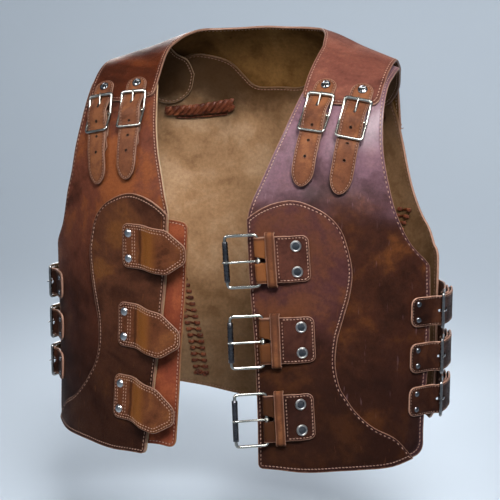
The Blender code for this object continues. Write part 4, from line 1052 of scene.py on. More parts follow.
# the flesh side's darkening: painted shade at the top under the yoke, strongest towards -X, and painted shade towards
# the bottom; the last entry makes the flesh darker towards +X
fleshDarkening = ((0.90, -0.130, -0.060, 0.14, -0.04), (0.60, -0.20, -0.48, 0.9, 0.8),
             (0.70, 0.20, 0.10, -0.10, 0.10))
foldStretch = ((-0.05, 0.061, 0.003, palette["foldBend"], 0.82),)
finish = {
    "frontR": grainLeather("frontLeatherRight", "front", darkening=(0.6, -0.22, -0.46),
                           offset=(0.3, 0.1, 0.2), drift=("low", "Z", -0.20, -0.50)),
    # the left front carries the chest's painted highlight at the top, fading downwards into the low tones
    "frontL": grainLeather("frontLeatherLeft", "chest", sheen=0.04, polish=(0.42, -0.30, -0.12),
                           darkening=(0.7, -0.30, -0.50), offset=(1.7, 0.4, 0.9),
                           drift=("low", "Z", -0.10, -0.25)),
    "overlayR": grainLeather("overlayLeatherRight", "olive", darkening=(0.7, -0.30, -0.48),
                              offset=(2.3, 1.1, 0.4)),
    "overlayL": grainLeather("overlayLeatherLeft", "amber", darkening=(0.7, -0.30, -0.46),
                             offset=(3.1, 0.7, 1.9), drift=("low", "Z", -0.24, -0.40)),
    # the yoke turns to the darker tones towards -X: painted shade on its side away from the light
    "yoke": grainLeather("yokeLeather", "yoke", coat=0.03, offset=(4.2, 2.1, 0.3),
                         drift=("wornAndShaded", "X", 0.10, -0.08)),
    "back": grainLeather("backLeather", "front", offset=(5.3, 1.3, 2.2)),
    "placket": grainLeather("placketLeather", "placket", patchScale=16.0, darkAmount=0.6,
                            offset=(0.9, 5.1, 0.2)),
    "strap": grainLeather("strapLeather", "strap", patchScale=24.0, darkAmount=0.6,
                          roughness=(0.34, 0.52), rubWidth=1.1, groovePlace=2.6, offset=(6.1, 0.2, 1.2)),
    "sideStrap": grainLeather("sideStrapLeather", "side", patchScale=24.0, roughness=(0.36, 0.54),
                              rubWidth=1.6, groovePlace=2.6, offset=(9.1, 0.6, 1.4)),
    "billet": grainLeather("billetLeather", "billet", patchScale=20.0, roughness=(0.36, 0.54),
                           rubWidth=1.3, groovePlace=2.8, offset=(7.4, 1.2, 0.2), bands=billetBendHighlightAndShade),
    "fold": grainLeather("foldLeather", "tab", patchScale=20.0, darkening=(0.8, -0.28, -0.46),
                         roughness=(0.38, 0.56), rubWidth=1.2, groovePlace=2.8, offset=(8.4, 3.2, 1.2),
                         bands=foldStretch),
    "flesh": fleshLeather("fleshSide", "flesh", 0.60, soilAndShade=fleshDarkening),
    # the yoke's underside gets painted shade, darker towards -X
    "fleshYoke": fleshLeather("fleshSideYoke", "under", 0.8, offset=(2.0, 3.0, 1.0),
                              soilAndShade=((0.80, -0.30, -0.20, -0.02, -0.16),)),
    "edge": cutEdgeLeather("cutEdge", palette["cutEdge"], palette["cutEdgeDark"]),
    "edgePink": cutEdgeLeather("cutEdgePink", palette["cutEdgePink"], palette["cutEdgeDark"]),
    "edgeAmber": cutEdgeLeather("cutEdgeAmber", palette["cutEdgeAmber"], palette["cutEdgeDark"]),
    # the back's cut edges get painted shade at the top, under the yoke
    "edgeBack": cutEdgeLeather("cutEdgeBack", palette["cutEdgePink"], palette["cutEdgeDark"],
                               shadedAbove=(-0.14, -0.09)),
    "edgePale": cutEdgeLeather("cutEdgePale", palette["cutEdgePale"], palette["cutEdge"]),
    # near-black hole walls: painted shade inside the punched holes and slots
    "hole": cutEdgeLeather("holeWallPaintedShade", (0.012, 0.006, 0.004), (0.020, 0.010, 0.006)),
    "thread": waxedThread("waxedThread", 0.0),
    "threadDark": waxedThread("waxedThreadSoiled", 0.45),
    "threadBack": waxedThread("waxedThreadBrown", 1.0),
    "nickel": plainMetal("nickelWire", (0.50, 0.49, 0.44), (0.16, 0.26)),
    # a darker copy of the buckle nickel: painted shade and dark reflection for the buckles at the sides
    "sideMetal": plainMetal("sideWirePaintedShade", (0.34, 0.33, 0.32), (0.16, 0.30), 0.6, (0.05, 0.045, 0.04)),
    "rivet": plainMetal("rivetCap", (0.62, 0.62, 0.62), (0.08, 0.18), 0.25),
    "rivetRim": plainMetal("rivetRim", (0.52, 0.51, 0.49), (0.26, 0.36), 0.2),
    # a dark copy of the rivet nickel: painted dark reflection of the room in the caps
    "rivetDark": plainMetal("rivetCapPaintedDark", (0.20, 0.20, 0.21), (0.10, 0.20), 0.4, (0.05, 0.05, 0.05)),
    "roller": plainMetal("rollerSteel", (0.12, 0.12, 0.13), (0.20, 0.36), 0.6, (0.025, 0.025, 0.03)),
    "thong": grainLeather("thongLeather", "thong", patchScale=60.0, coat=0.15, offset=(1.2, 7.7, 0.4),
                          wornAndShaded=False),
    "lace": grainLeather("laceLeather", "wornAndShaded", patchScale=60.0, offset=(3.2, 5.7, 0.4), wornAndShaded=False),
}
print("finishes ready", len(finish))


def meshPiece(name, points, faces, materials, kinds=None):
    mesh = bpy.data.meshes.new(name)
    mesh.from_pydata([tuple(p) for p in points], [], [tuple(int(i) for i in f) for f in faces])
    mesh.polygons.foreach_set("use_smooth", [True] * len(mesh.polygons))
    for material in materials:
        mesh.materials.append(material)
    if kinds is not None:
        mesh.polygons.foreach_set("material_index", kinds)
    mesh.validate()
    mesh.update()
    piece = bpy.data.objects.new(name, mesh)
    bpy.context.scene.collection.objects.link(piece)
    return piece


def grainArea(piece):
    # the area of the grain side, which is the first material
    return sum(face.area for face in piece.data.polygons if face.material_index == 0)


def settle(piece, nodes=(), body="root", slot=None):
    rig.ride(piece, body)
    if nodes:
        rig.replaces(piece, *nodes)
    if slot:
        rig.slot(piece, slot)


def evenPath(path, pitch, closed):
    # the middles of the stitches on a path, and the way that each one runs
    points = np.concatenate([path, path[:1]]) if closed else np.asarray(path, float)
    length = np.concatenate([[0], np.cumsum(np.linalg.norm(np.diff(points, axis=0), axis=1))])
    count = max(2, int(round(length[-1] / pitch)))
    at = (np.arange(count) + 0.5) * length[-1] / count
    ahead = np.minimum(at + pitch * 0.3, length[-1])
    behind = np.maximum(at - pitch * 0.3, 0)

    def look(where):
        return np.stack([np.interp(where, length, points[:, k]) for k in (0, 1)], axis=1)

    return look(at), look(ahead) - look(behind)


# a stitch from end to end: where its rings are, how thick they are and how high they lie
stitchShape = {
    "along": (-1.0, -0.5, 0.5, 1.0),
    "girth": (0.45, 1.0, 1.0, 0.45),
    "rise": (-0.55, 0.20, 0.20, -0.55),
    "sides": 6,
    "wide": 1.15,
    "high": 0.8,
    "jitter": 0.12,
}


def stitchRun(name, runs, place, height, pitch=4.9 * mm, length=3.5 * mm, radius=0.50 * mm, clear=(),
              slant=0.10, inside=True, thread="thread"):
    # each stitch is a short bowed capsule whose ends dip into the leather
    sides = stitchShape["sides"]
    along, girth, rise = (np.array(stitchShape[key]) for key in ("along", "girth", "rise"))
    rings = len(along)
    wide, high = stitchShape["wide"], stitchShape["high"]
    around = np.arange(sides) / sides * 2 * math.pi
    points, faces, total = [], [], 0
    shape = []
    for i in range(rings):
        for k in range(sides):
            nextK = (k + 1) % sides
            if i < rings - 1:
                here, ahead = i * sides, (i + 1) * sides
                shape.append((here + k, here + nextK, ahead + nextK, ahead + k))
    shape.append(tuple(range(sides))[::-1])
    shape.append(tuple(range((rings - 1) * sides, rings * sides)))
    for path, closed in runs:
        centres, ways = evenPath(np.array(path), pitch, closed)
        keep = np.ones(len(centres), bool)
        for u, v, r in clear:
            keep &= np.hypot(centres[:, 0] - u, centres[:, 1] - v) > r
        centres, ways = centres[keep], unit(ways[keep])
        if not len(centres):
            continue
        turned = ways + np.stack([-ways[:, 1], ways[:, 0]], axis=1) * slant
        reach = length / 2
        for face in ((1, -1) if inside else (1,)):
            level = np.full(len(centres), height * face)
            start = place(*(centres - turned * reach).T, level)
            end = place(*(centres + turned * reach).T, level)
            middle = place(*centres.T, level)
            outer = place(*centres.T, level + mm * face)
            out = unit(outer - middle)
            way = (end - start) / 2
            size = np.linalg.norm(way, axis=1, keepdims=True)
            way = way / size * reach
            aside = unit(np.cross(out, way))
            jitter = 1 + stitchShape["jitter"] * (random.random(len(centres)) - 0.5)
            for n in range(len(centres)):
                rows = []
                for i in range(rings):
                    centre = middle[n] + way[n] * along[i] * jitter[n] + out[n] * rise[i] * radius
                    for a in around:
                        spoke = aside[n] * math.cos(a) * wide + out[n] * math.sin(a) * high
                        rows.append(centre + spoke * radius * girth[i])
                points += rows
                faces += [tuple(total + j for j in f) for f in shape]
                total += rings * sides
    return meshPiece(name, points, faces, [finish[thread]])


def tube(name, points, radius, materials, closed=False, sides=12, flat=1.0, up=None, radii=None):
    # a round or flattened bar along points; up is the direction of its short width
    pts = np.array([tuple(p) for p in points], float)
    count = len(pts)
    if closed:
        tangents = unit(np.roll(pts, -1, axis=0) - np.roll(pts, 1, axis=0))
    else:
        tangents = unit(np.gradient(pts, axis=0))
    normals = np.zeros_like(pts)
    if up is not None:
        normals[:] = unit(np.asarray(up, float))
        normals = unit(normals - (normals * tangents).sum(1, keepdims=True) * tangents)
    else:
        first = np.cross(tangents[0], (0.31, 0.17, 0.93))
        normals[0] = unit(first)
        for i in range(1, count):
            carried = normals[i - 1] - tangents[i] * normals[i - 1].dot(tangents[i])
            normals[i] = unit(carried)
        if closed:
            last = normals[-1] - tangents[0] * normals[-1].dot(tangents[0])
            last = unit(last)
            twist = math.atan2(np.cross(last, normals[0]).dot(tangents[0]), last.dot(normals[0]))
            for i in range(count):
                angle = twist * i / count
                aside = np.cross(tangents[i], normals[i])
                normals[i] = normals[i] * math.cos(angle) + aside * math.sin(angle)
    asides = np.cross(tangents, normals)
    sizes = np.full(count, radius) if radii is None else np.asarray(radii, float) * radius
    verts, faces = [], []
    for i in range(count):
        for k in range(sides):
            a = 2 * math.pi * k / sides
            verts.append(pts[i] + (asides[i] * math.cos(a) + normals[i] * math.sin(a) * flat) * sizes[i])
    for i in range(count if closed else count - 1):
        j = (i + 1) % count
        for k in range(sides):
            m = (k + 1) % sides
            faces.append((i * sides + k, i * sides + m, j * sides + m, j * sides + k))
    if not closed:
        for end, order in ((0, -1), (count - 1, 1)):
            faces.append(tuple(end * sides + k for k in range(sides))[::order])
    return meshPiece(name, verts, faces, materials)


def turned(name, profile, places, materials, segments=24, cap=99):
    # the same turned profile at several places, each a point, an outward direction and a size; the
    # rows from cap on are of the second material
    verts, faces, kinds, total = [], [], [], 0
    rows = len(profile)
    for point, out, size in places:
        out = unit(np.asarray(out, float))
        first = unit(np.cross(out, (0.2, 0.3, 0.93)))
        second = np.cross(out, first)
        for r, z in profile:
            for k in range(segments):
                a = 2 * math.pi * k / segments
                around = first * math.cos(a) + second * math.sin(a)
                verts.append(point + around * r * size + out * z * size)
        for i in range(rows - 1):
            for k in range(segments):
                m = (k + 1) % segments
                a, b = total + i * segments + k, total + i * segments + m
                faces.append((a, b, b + segments, a + segments))
                kinds.append(int(i >= cap))
        faces.append(tuple(total + (rows - 1) * segments + k for k in range(segments)))
        faces.append(tuple(total + k for k in range(segments))[::-1])
        kinds += [int(cap < rows), 0]
        total += rows * segments
    return meshPiece(name, verts, faces, materials, kinds)


# a domed rivet of half-width 1: a thin skirt and a cap; and a flatter one with a raised rim
rivetProfile = [(0.80, -0.12), (0.98, -0.10), (1.0, 0.0), (0.985, 0.06)] + [
    (math.sin(a) * 0.97, 0.06 + 0.44 * (math.cos(a) - math.cos(1.45)) / (1 - math.cos(1.45)))
    for a in np.linspace(1.45, 0.06, 9)]
rimmedProfile = [(0.80, -0.12), (0.98, -0.10), (1.0, 0.0), (0.99, 0.10), (0.93, 0.19), (0.85, 0.23),
                 (0.77, 0.21), (0.73, 0.17)] + [
    (r, 0.17 + 0.14 * (1 - (r / 0.73) ** 2)) for r in (0.66, 0.54, 0.40, 0.26, 0.12, 0.03)]


def joined(name, pieces):
    # one piece out of several, keeping their materials
    points, faces, kinds, materials, total = [], [], [], [], 0
    for piece in pieces:
        mesh = piece.data
        shift = len(materials)
        materials += list(mesh.materials)
        points += [tuple(v.co) for v in mesh.vertices]
        for face in mesh.polygons:
            faces.append(tuple(i + total for i in face.vertices))
            kinds.append(face.material_index + shift)
        total += len(mesh.vertices)
        bpy.data.objects.remove(piece)
        bpy.data.meshes.remove(mesh)
    return meshPiece(name, points, faces, materials, kinds)


def ribbonPlace(rows, outward, shownRow):
    # a strap's surface through rows of three points, from one side of it to the other
    rows = np.array(rows, float)
    middle = rows[:, 1]
    half = np.linalg.norm(rows[:, 2] - rows[:, 0], axis=1)[:, None] / 2
    direction = (rows[:, 2] - rows[:, 0]) / (2 * half)
    bend = (rows[:, 2] + rows[:, 0] - 2 * middle) / (2 * half ** 2)
    length = np.concatenate([[0], np.cumsum(np.linalg.norm(np.diff(middle, axis=0), axis=1))])
    count = max(80, int(length[-1] / (0.5 * mm)))
    at = np.linspace(0, length[-1], count)

    def column(values):
        return np.stack([smoothTable(at, length, values[:, k]) for k in range(3)], axis=1)

    middles, directions, bends = column(middle), column(direction), column(bend)
    along = unit(np.gradient(middles, axis=0))
    shown = min(count - 1, int(length[shownRow] / at[1]))
    sign = math.copysign(1.0, np.cross(along[shown], directions[shown]).dot(outward))

    def place(u, v, h):
        u, v, h = np.broadcast_arrays(np.atleast_1d(u).astype(float), v, h)
        spot = np.clip(u / at[1], 0, count - 1.001)
        i = spot.astype(int)
        share = (spot - i)[:, None]

        def mixed(grid):
            return grid[i] * (1 - share) + grid[i + 1] * share

        way, curve = mixed(directions), mixed(bends)
        across = v[:, None]
        normal = unit(np.cross(mixed(along), way + 2 * curve * across)) * sign
        beyond = (u - np.clip(u, 0, length[-1]))[:, None]
        return (mixed(middles) + way * across + curve * across ** 2 + normal * h[:, None]
                + mixed(along) * beyond)

    return place, length


def strapOutline(length, half, start=(6 * mm, 6 * mm, 2.0), end=(6 * mm, 6 * mm, 2.0)):
    # flat outline along and across; each end gives how long its rounding is, how deep, and how square
    angle = np.linspace(0, math.pi / 2, 12)
    first = start[0] * (1 - np.cos(angle))
    last = length - end[0] * (1 - np.cos(angle[::-1]))
    body = np.linspace(start[0], length - end[0], max(2, int((length - start[0] - end[0]) / (3 * mm))))
    at = np.concatenate([first, body[1:-1], last])
    widths = np.full(len(at), half) if np.isscalar(half) else smoothTable(at, half[0], np.array(half[1]))
    for (reach, depth, power), gone in ((start, at), (end, length - at)):
        t = np.clip(1 - gone / reach, 0, 1)
        widths = widths - depth * (1 - (1 - t ** power) ** (1 / power))
    widths = np.maximum(widths, 0.02 * mm)
    upper = np.stack([at, widths], axis=1)
    lower = np.stack([at[::-1], -widths[::-1]], axis=1)
    return np.concatenate([upper, lower])


def roundHole(u, v, radius, count=14):
    angle = np.arange(count) / count * 2 * math.pi
    return np.stack([u + radius * np.cos(angle), v + radius * np.sin(angle)], axis=1)


def longHole(u, v, length, width, count=7):
    half = length / 2 - width / 2
    right = np.linspace(-math.pi / 2, math.pi / 2, count)
    first = np.stack([u + half + width / 2 * np.cos(right), v + width / 2 * np.sin(right)], axis=1)
    second = np.stack([u - half - width / 2 * np.cos(right), v - width / 2 * np.sin(right)], axis=1)
    return np.concatenate([first, second])


def borderRuns(outline, inset, step=1.5 * mm):
    return [(insetLoop(evenLoop(outline, step), inset), True)]


outlines = panelOutlines()
print("outlines ready", {name: len(o) for name, o in outlines.items()})

# panels
panelSets = (
    ("front_R", "front", -1, tongueLift, "panel", "frontR", "flesh", "edgePale"),
    ("front_L", "front", 1, tongueLift, "panel", "frontL", "flesh", "edge"),
    ("overlay_R", "overlay", -1, steady(leather["overlayLift"]), "overlay", "overlayR", "flesh", "edge"),
    ("overlay_L", "overlay", 1, steady(leather["overlayLift"]), "overlay", "overlayL", "flesh", "edge"),
    ("yoke", "yoke", 1, yokeLift, "panel", "yoke", "fleshYoke", "edge"),
    ("back", "back", 1, steady(leather["backLift"]), "panel", "back", "flesh", "edgeBack"),
    ("placket_R", "placket", -1, steady(leather["placketLift"]), "overlay", "placket", "flesh",
     "edgeAmber"),
)


def flatSize(outline, place):
    # the rectangle that the piece is cut from, measured over the leather
    low, high = outline.min(0), outline.max(0)
    widest = 0.0
    for run in np.linspace(low[1] + 2 * mm, high[1] - 2 * mm, 60):
        across = np.linspace(low[0], high[0], 400)
        spots = np.stack([across, np.full(400, run)], axis=1)
        inside = insideLoops(spots, [outline])
        if not inside.any():
            continue
        first, last = np.flatnonzero(inside)[[0, -1]]
        line = place(across[first:last + 1], np.full(last + 1 - first, run), np.zeros(last + 1 - first))
        widest = max(widest, float(np.linalg.norm(np.diff(line, axis=0), axis=1).sum()))
    return widest, float(high[1] - low[1])


rests = {
    "front_R": ["yoke"], "front_L": ["yoke"], "overlay_R": ["front_R"], "overlay_L": ["front_L"],
    "yoke": ["front_L", "front_R", "back"], "back": ["yoke"], "placket_R": ["front_R"],
}
panels = {}
for name, key, side, lift, sort, outside, inner, rim in panelSets:
    place = panelPlace(lift, leather[sort], side)
    outline = outlines[key]
    piece = leatherPiece(name + "_leather", outline, place, leather[sort],
                         [finish[outside], finish[inner], finish[rim]])
    settle(piece, [name], "root", "placket_leather" if key == "placket" else "panel_leather")
    sewing = stitchRun(name + "_sewing", borderRuns(outline, cutEdges["panelGroove"]), place,
                       leather[sort] / 2 - cutEdges["panelThreadSink"],
                       thread="threadBack" if name == "back" else "thread")
    settle(sewing)
    panels[name] = (piece, sewing, outline, place)
    print("panel", name, len(piece.data.polygons), len(sewing.data.polygons))

for name, (piece, sewing, outline, place) in panels.items():
    wide, long = flatSize(outline, place)
    print("flat", name, round(wide, 3), round(long, 3), round(grainArea(piece), 4))
    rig.sheet(piece, flat=(wide, long), held="hung", rests_on=rests[name], area=grainArea(piece),
             with_pieces=[sewing])


def formMatrix(across, run, lift):
    # place on the form: local x across, y up along the leather, z out of it
    point, normal = formAt(across, run)
    ahead, _ = formAt(across, run + mm)
    behind, _ = formAt(across, run - mm)
    out = Vector(normal[0])
    up = Vector(behind[0] - ahead[0])
    up = (up - out * up.dot(out)).normalized()
    right = up.cross(out).normalized()
    matrix = Matrix((right, up, out)).transposed().to_4x4()
    matrix.translation = Vector(point[0]) + out * lift
    return matrix


def declareStrap(piece, outline, held, resting, extras):
    low, high = outline.min(0), outline.max(0)
    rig.sheet(piece, flat=(float(high[1] - low[1]), float(high[0] - low[0])), held=held, rests_on=resting,
             area=min(grainArea(piece), float(np.prod(high - low))), with_pieces=extras)


def roundedLoop(corners, radii, steps=8):
    result = []
    count = len(corners)
    for i, radius in enumerate(radii):
        here = Vector(corners[i])
        if not radius:
            result.append(here)
            continue
        start = here + (Vector(corners[i - 1]) - here).normalized() * radius
        end = here + (Vector(corners[(i + 1) % count]) - here).normalized() * radius
        for k in range(steps + 1):
            t = k / steps
            result.append(start * (1 - t) ** 2 + here * 2 * t * (1 - t) + end * t * t)
    return result


def closeUp(points, step):
    # more points on the long straight stretches, so that a bar shades evenly
    result = []
    count = len(points)
    for i in range(count):
        here, following = Vector(points[i]), Vector(points[(i + 1) % count])
        result.append(here)
        pieces = int((following - here).length / step)
        for k in range(1, pieces):
            result.append(here.lerp(following, k / pieces))
    return result


def smoothLine(points, step=0.8 * mm):
    pts = [Vector(p) for p in points]
    result = [pts[0]]
    for i in range(len(pts) - 1):
        before = pts[i - 1] if i else pts[0] * 2 - pts[1]
        after = pts[i + 2] if i + 2 < len(pts) else pts[-1] * 2 - pts[-2]
        start, end = pts[i], pts[i + 1]
        count = max(1, int((end - start).length / step))
        for k in range(1, count + 1):
            result.append(curvePoint(before, start, end, after, k / count))
    return result


def boltPlaces(place, spots, height, size):
    # where rivets sit on a cut piece; a negative height turns them to its other face
    places = []
    for u, v in spots:
        spot = place(np.array([u]), np.array([v]), np.array([height]))[0]
        above = place(np.array([u]), np.array([v]), np.array([height + math.copysign(mm, height)]))[0]
        places.append((spot, above - spot, size))
    return places


def addStrap(node, outline, place, sort, faces, held, resting, cutting, sewing=None, rivets=None,
             slot="strap_leather"):
    # a cut piece with its sewing and rivets; faces are the finishes of grain, flesh and edge
    materials = [finish[face] for face in faces]
    piece = leatherPiece(node + "_leather", outline, place, leather[sort], materials, **cutting)
    settle(piece, [node], "root", slot)
    extras = []
    if sewing:
        extras.append(stitchRun(node + "_sewing", place=place,
                                height=leather[sort] / 2 - cutEdges["strapThreadSink"], **sewing))
        settle(extras[-1])
    if rivets:
        name, profile, spots, facing, size, shades = rivets
        places = boltPlaces(place, spots, facing * leather[sort] / 2, size)
        extras.append(turned(name, profile, places, [finish[shade] for shade in shades],
                             cap=8 if len(shades) > 1 else 99))
        settle(extras[-1], slot="nickel")
    declareStrap(piece, outline, held, resting, extras)


# shoulder straps: run down the strap from its rivet, height of the middle of the leather
shoulder = {
    "strap": ((-10.5, 8.8), (-9, 8.8), (-3, 8.8), (4, 8.8), (17, 9.0), (26, 11.0), (36, 14.6),
              (45, 16.0), (54, 14.6), (62, 11.8), (70, 10.8), (87, 10.8), (105, 10.2), (122, 9.4),
              (133, 8.8), (140, 8.5), (143, 8.4)),
    "fold": ((78, 5.2), (53, 5.2), (45, 5.7), (42.7, 6.7), (41.7, 9.0), (42.7, 11.3), (45, 12.3),
             (52, 10.3), (59, 8.0), (66, 7.8), (81, 7.8), (90, 5.0), (96, 4.9), (99, 4.9)),
    "bars": ((17, 12.7), (45, 9.0), (70, 14.2)),
    "prong": ((45, 9.0), (37, 10.4), (28, 13.0), (21, 14.9), (17, 15.5), (14.4, 15.2)),
    "halfWidth": 14.0,
    "tipLength": 23 * mm,
    "headLength": 13 * mm,
    "foldHalfWidth": 13.5,
    "foldEnds": ((4 * mm, 4 * mm, 2.0), (10 * mm, 9 * mm, 2.0)),
    "slotRun": 29,
    "slotLength": 17 * mm,
    "slotWidth": 3.0 * mm,
    "foldSlotWidth": 3.6 * mm,
    "hole": 1.6 * mm,
    "border": 2.4 * mm,
    "cutting": {"step": 1.6 * mm, "spacing": 3.6 * mm, "grooveDepth": 0.25 * mm},
    "foldCutting": {"step": 1.2 * mm, "spacing": 4 * mm, "grooveDepth": 0.2 * mm},
    "rivet": 6.3 * mm,
    "frameHalfWidth": 16.5 * mm,
    "corner": 4.0 * mm,
    "wire": 1.7 * mm,
    "prongWire": 1.2 * mm,
    "coilWire": 1.15 * mm,
    "sets": (("outer", 176, -62.5, 160, (56, 77, 98)), ("inner", 129.5, -57, 115.5, (61.5, 83, 104))),
    "topSwell": 0.5,
    "sewing": {"pitch": 3.8 * mm, "length": 2.6 * mm, "radius": 0.38 * mm, "inside": False,
               "thread": "threadDark"},
}


def addShoulderSet(label, side, across, height, tip, punched):
    buckleNode = f"shoulder_buckle_{label}"
    start = runAt(across * mm, height * mm)
    slope = (tip - across) / shoulder["strap"][-1][0]
    width = Vector((1.0, slope)).normalized()

    def point(run, lift, aside=0.0):
        spot = formMatrix((across + slope * run) * mm, start + run * mm, lift * mm)
        x, y, z = spot @ Vector((aside * width[0], aside * width[1], 0))
        return np.array((side * x, y, z))

    def rows(table, half):
        return [[point(run, lift, s * half * mm) for s in (-1, 0, 1)] for run, lift in table]

    outward = formAt(across * mm, start)[1][0] * np.array([side, 1, 1])
    place, length = ribbonPlace(rows(shoulder["strap"], shoulder["halfWidth"]), outward, 8)
    runs = np.array([row[0] for row in shoulder["strap"]])
    half = shoulder["halfWidth"] * mm
    outline = strapOutline(length[-1], half, (shoulder["headLength"], half, 2.0),
                           (shoulder["tipLength"], half, 1.9))

    def along(run):
        return float(np.interp(run, runs, length))

    holes = [longHole(along(shoulder["slotRun"]), 0, shoulder["slotLength"], shoulder["slotWidth"])]
    holes += [roundHole(along(run), 0, shoulder["hole"]) for run in punched]
    addStrap(f"shoulder_strap_{label}", outline, place, "strap", ("strap", "flesh", "edge"), "stretched",
             ["yoke", buckleNode],
             {"holes": holes, "groove": shoulder["border"], **shoulder["cutting"]},
             {"runs": borderRuns(outline, shoulder["border"]), **shoulder["sewing"]},
             # rivet rims in the dark copy of the nickel, centres in the bright one: painted reflection
             (f"shoulder_rivet_{label}", rimmedProfile, [(along(0), 0.0)], 1, shoulder["rivet"],
              ("rivetDark", "rivet")))

    place, length = ribbonPlace(rows(shoulder["fold"], shoulder["foldHalfWidth"]), outward, 9)
    outline = strapOutline(length[-1], shoulder["foldHalfWidth"] * mm, *shoulder["foldEnds"])
    slot = longHole(float(length[4]), 0, shoulder["slotLength"], shoulder["foldSlotWidth"])
    bend = (float(length[2]) - 2 * mm, float(length[6]) + 2 * mm)
    addStrap(f"shoulder_chape_{label}", outline, place, "fold", ("strap", "flesh", "edge"), "folded",
             [f"front_{label[0]}", buckleNode],
             {"holes": [slot], "groove": shoulder["border"], "bands": [bend], **shoulder["foldCutting"]})

    edge = shoulder["frameHalfWidth"]
    top, centre, low = shoulder["bars"]
    corners = [point(*top, -edge), point(*top, edge), point(*centre, edge), point(*low, edge),
               point(*low, -edge), point(*centre, -edge)]
    turn = shoulder["corner"]
    loop = closeUp(roundedLoop(corners, (turn, turn, 0, turn, turn, 0)), 3 * mm)
    upwards = (Vector(point(*top)) - Vector(point(*low))).normalized()
    swell = []
    for spot in loop:
        near = (Vector(point(*top)) - Vector(spot)).dot(upwards)
        swell.append(1.0 + shoulder["topSwell"] * float(1 - fade(near, 1.5 * mm, 5 * mm)))
    frame = tube("loop", loop, shoulder["wire"], [finish["nickel"]], closed=True, sides=14, radii=swell)
    bar = tube("bar", [point(*centre, s * edge) for s in np.linspace(-1, 1, 9)], shoulder["wire"] * 0.9,
               [finish["nickel"]])
    arm = smoothLine([point(*row) for row in shoulder["prong"]])
    sizes = np.interp(np.linspace(0, 1, len(arm)), (0, 0.12, 0.8, 1), (1.15, 1.0, 0.9, 0.55))
    prong = tube("prong", arm, shoulder["prongWire"], [finish["nickel"]], radii=sizes, flat=0.85)
    coils = []
    axis = unit(point(*centre, edge) - point(*centre, -edge))
    lead = unit(point(*shoulder["prong"][1]) - point(*shoulder["prong"][0]))
    upward = unit(np.cross(lead, axis))
    for offset in (-1.35, 1.35):
        ring = [point(*centre) + axis * offset * mm
                + (lead * math.cos(a) + upward * math.sin(a)) * (shoulder["wire"] + 1.0 * mm)
                for a in np.linspace(0, 2 * math.pi, 20, endpoint=False)]
        coils.append(tube("coil", ring, shoulder["coilWire"], [finish["nickel"]], closed=True, sides=10))
    buckle = joined(buckleNode + "_metal", [frame, bar, prong] + coils)
    settle(buckle, [buckleNode], "root", "nickel")


for letter, side in (("L", 1), ("R", -1)):
    for name, across, height, tip, punched in shoulder["sets"]:
        addShoulderSet(f"{letter}_{name}", side, across, height, tip, punched)
print("shoulder straps ready")

# side straps, sizes in mm: across for the part on the front, then places where the strap is free
sides = {
    "heights": (-331, -390, -446),
    "strapFront": (242, 244.5, 249.5, 255, 260),
    "strapFree": ((270, -55.5), (276.6, -53), (280.5, -42.5), (282.2, -29), (282.2, -15), (280, 0),
                  (276.6, 14), (272.0, 26)),
    "foldBack": (210, 213, 222, 231, 240, 249),
    "foldFree": ((262.6, 36.5), (267.4, 18), (271.0, 0), (273.0, -14), (272.7, -29), (273.7, -31.3),
                 (276.0, -32.3), (278.3, -31.3), (279.3, -29), (278.6, -15), (275.6, 0), (271.5, 14),
                 (268.6, 25)),
    "half": 19 * mm,
    "strapEnds": ((10 * mm, 11 * mm, 2.2), (13 * mm, 15 * mm, 2.0)),
    "foldEnds": ((10 * mm, 11 * mm, 2.2), (5 * mm, 5 * mm, 2.0)),
    "gap": 0.3 * mm,
    "slotLength": 18 * mm,
    "slotWidth": 3.6 * mm,
    "hole": 1.9 * mm,
    "holeSteps": (22, 34, 46, 58),
    "border": 2.6 * mm,
    "cutting": {"step": 1.6 * mm, "spacing": 4 * mm, "bevel": 0.9 * mm, "grooveDepth": 0.25 * mm},
    "foldCutting": {"step": 1.4 * mm, "spacing": 4.5 * mm, "grooveDepth": 0.2 * mm},
    "foldClear": 26 * mm,
    "rivet": 3.6 * mm,
    "rivetAcross": 10 * mm,
    "sewing": {"pitch": 3.8 * mm, "length": 2.5 * mm, "radius": 0.32 * mm, "thread": "threadDark"},
    "wire": 2.1 * mm,
    "prongWire": 1.2 * mm,
    "coilReach": 2.7 * mm,
    "coilWire": 1.15 * mm,
    "tipBar": (280.0, -54.0),
    "heelBar": (276.0, -29.0),
    "prong": ((276.0, -29), (279.0, -36), (281.5, -43.5), (282.7, -50), (282.8, -54.5), (282.9, -57.5)),
    "frameHalf": 22 * mm,
}


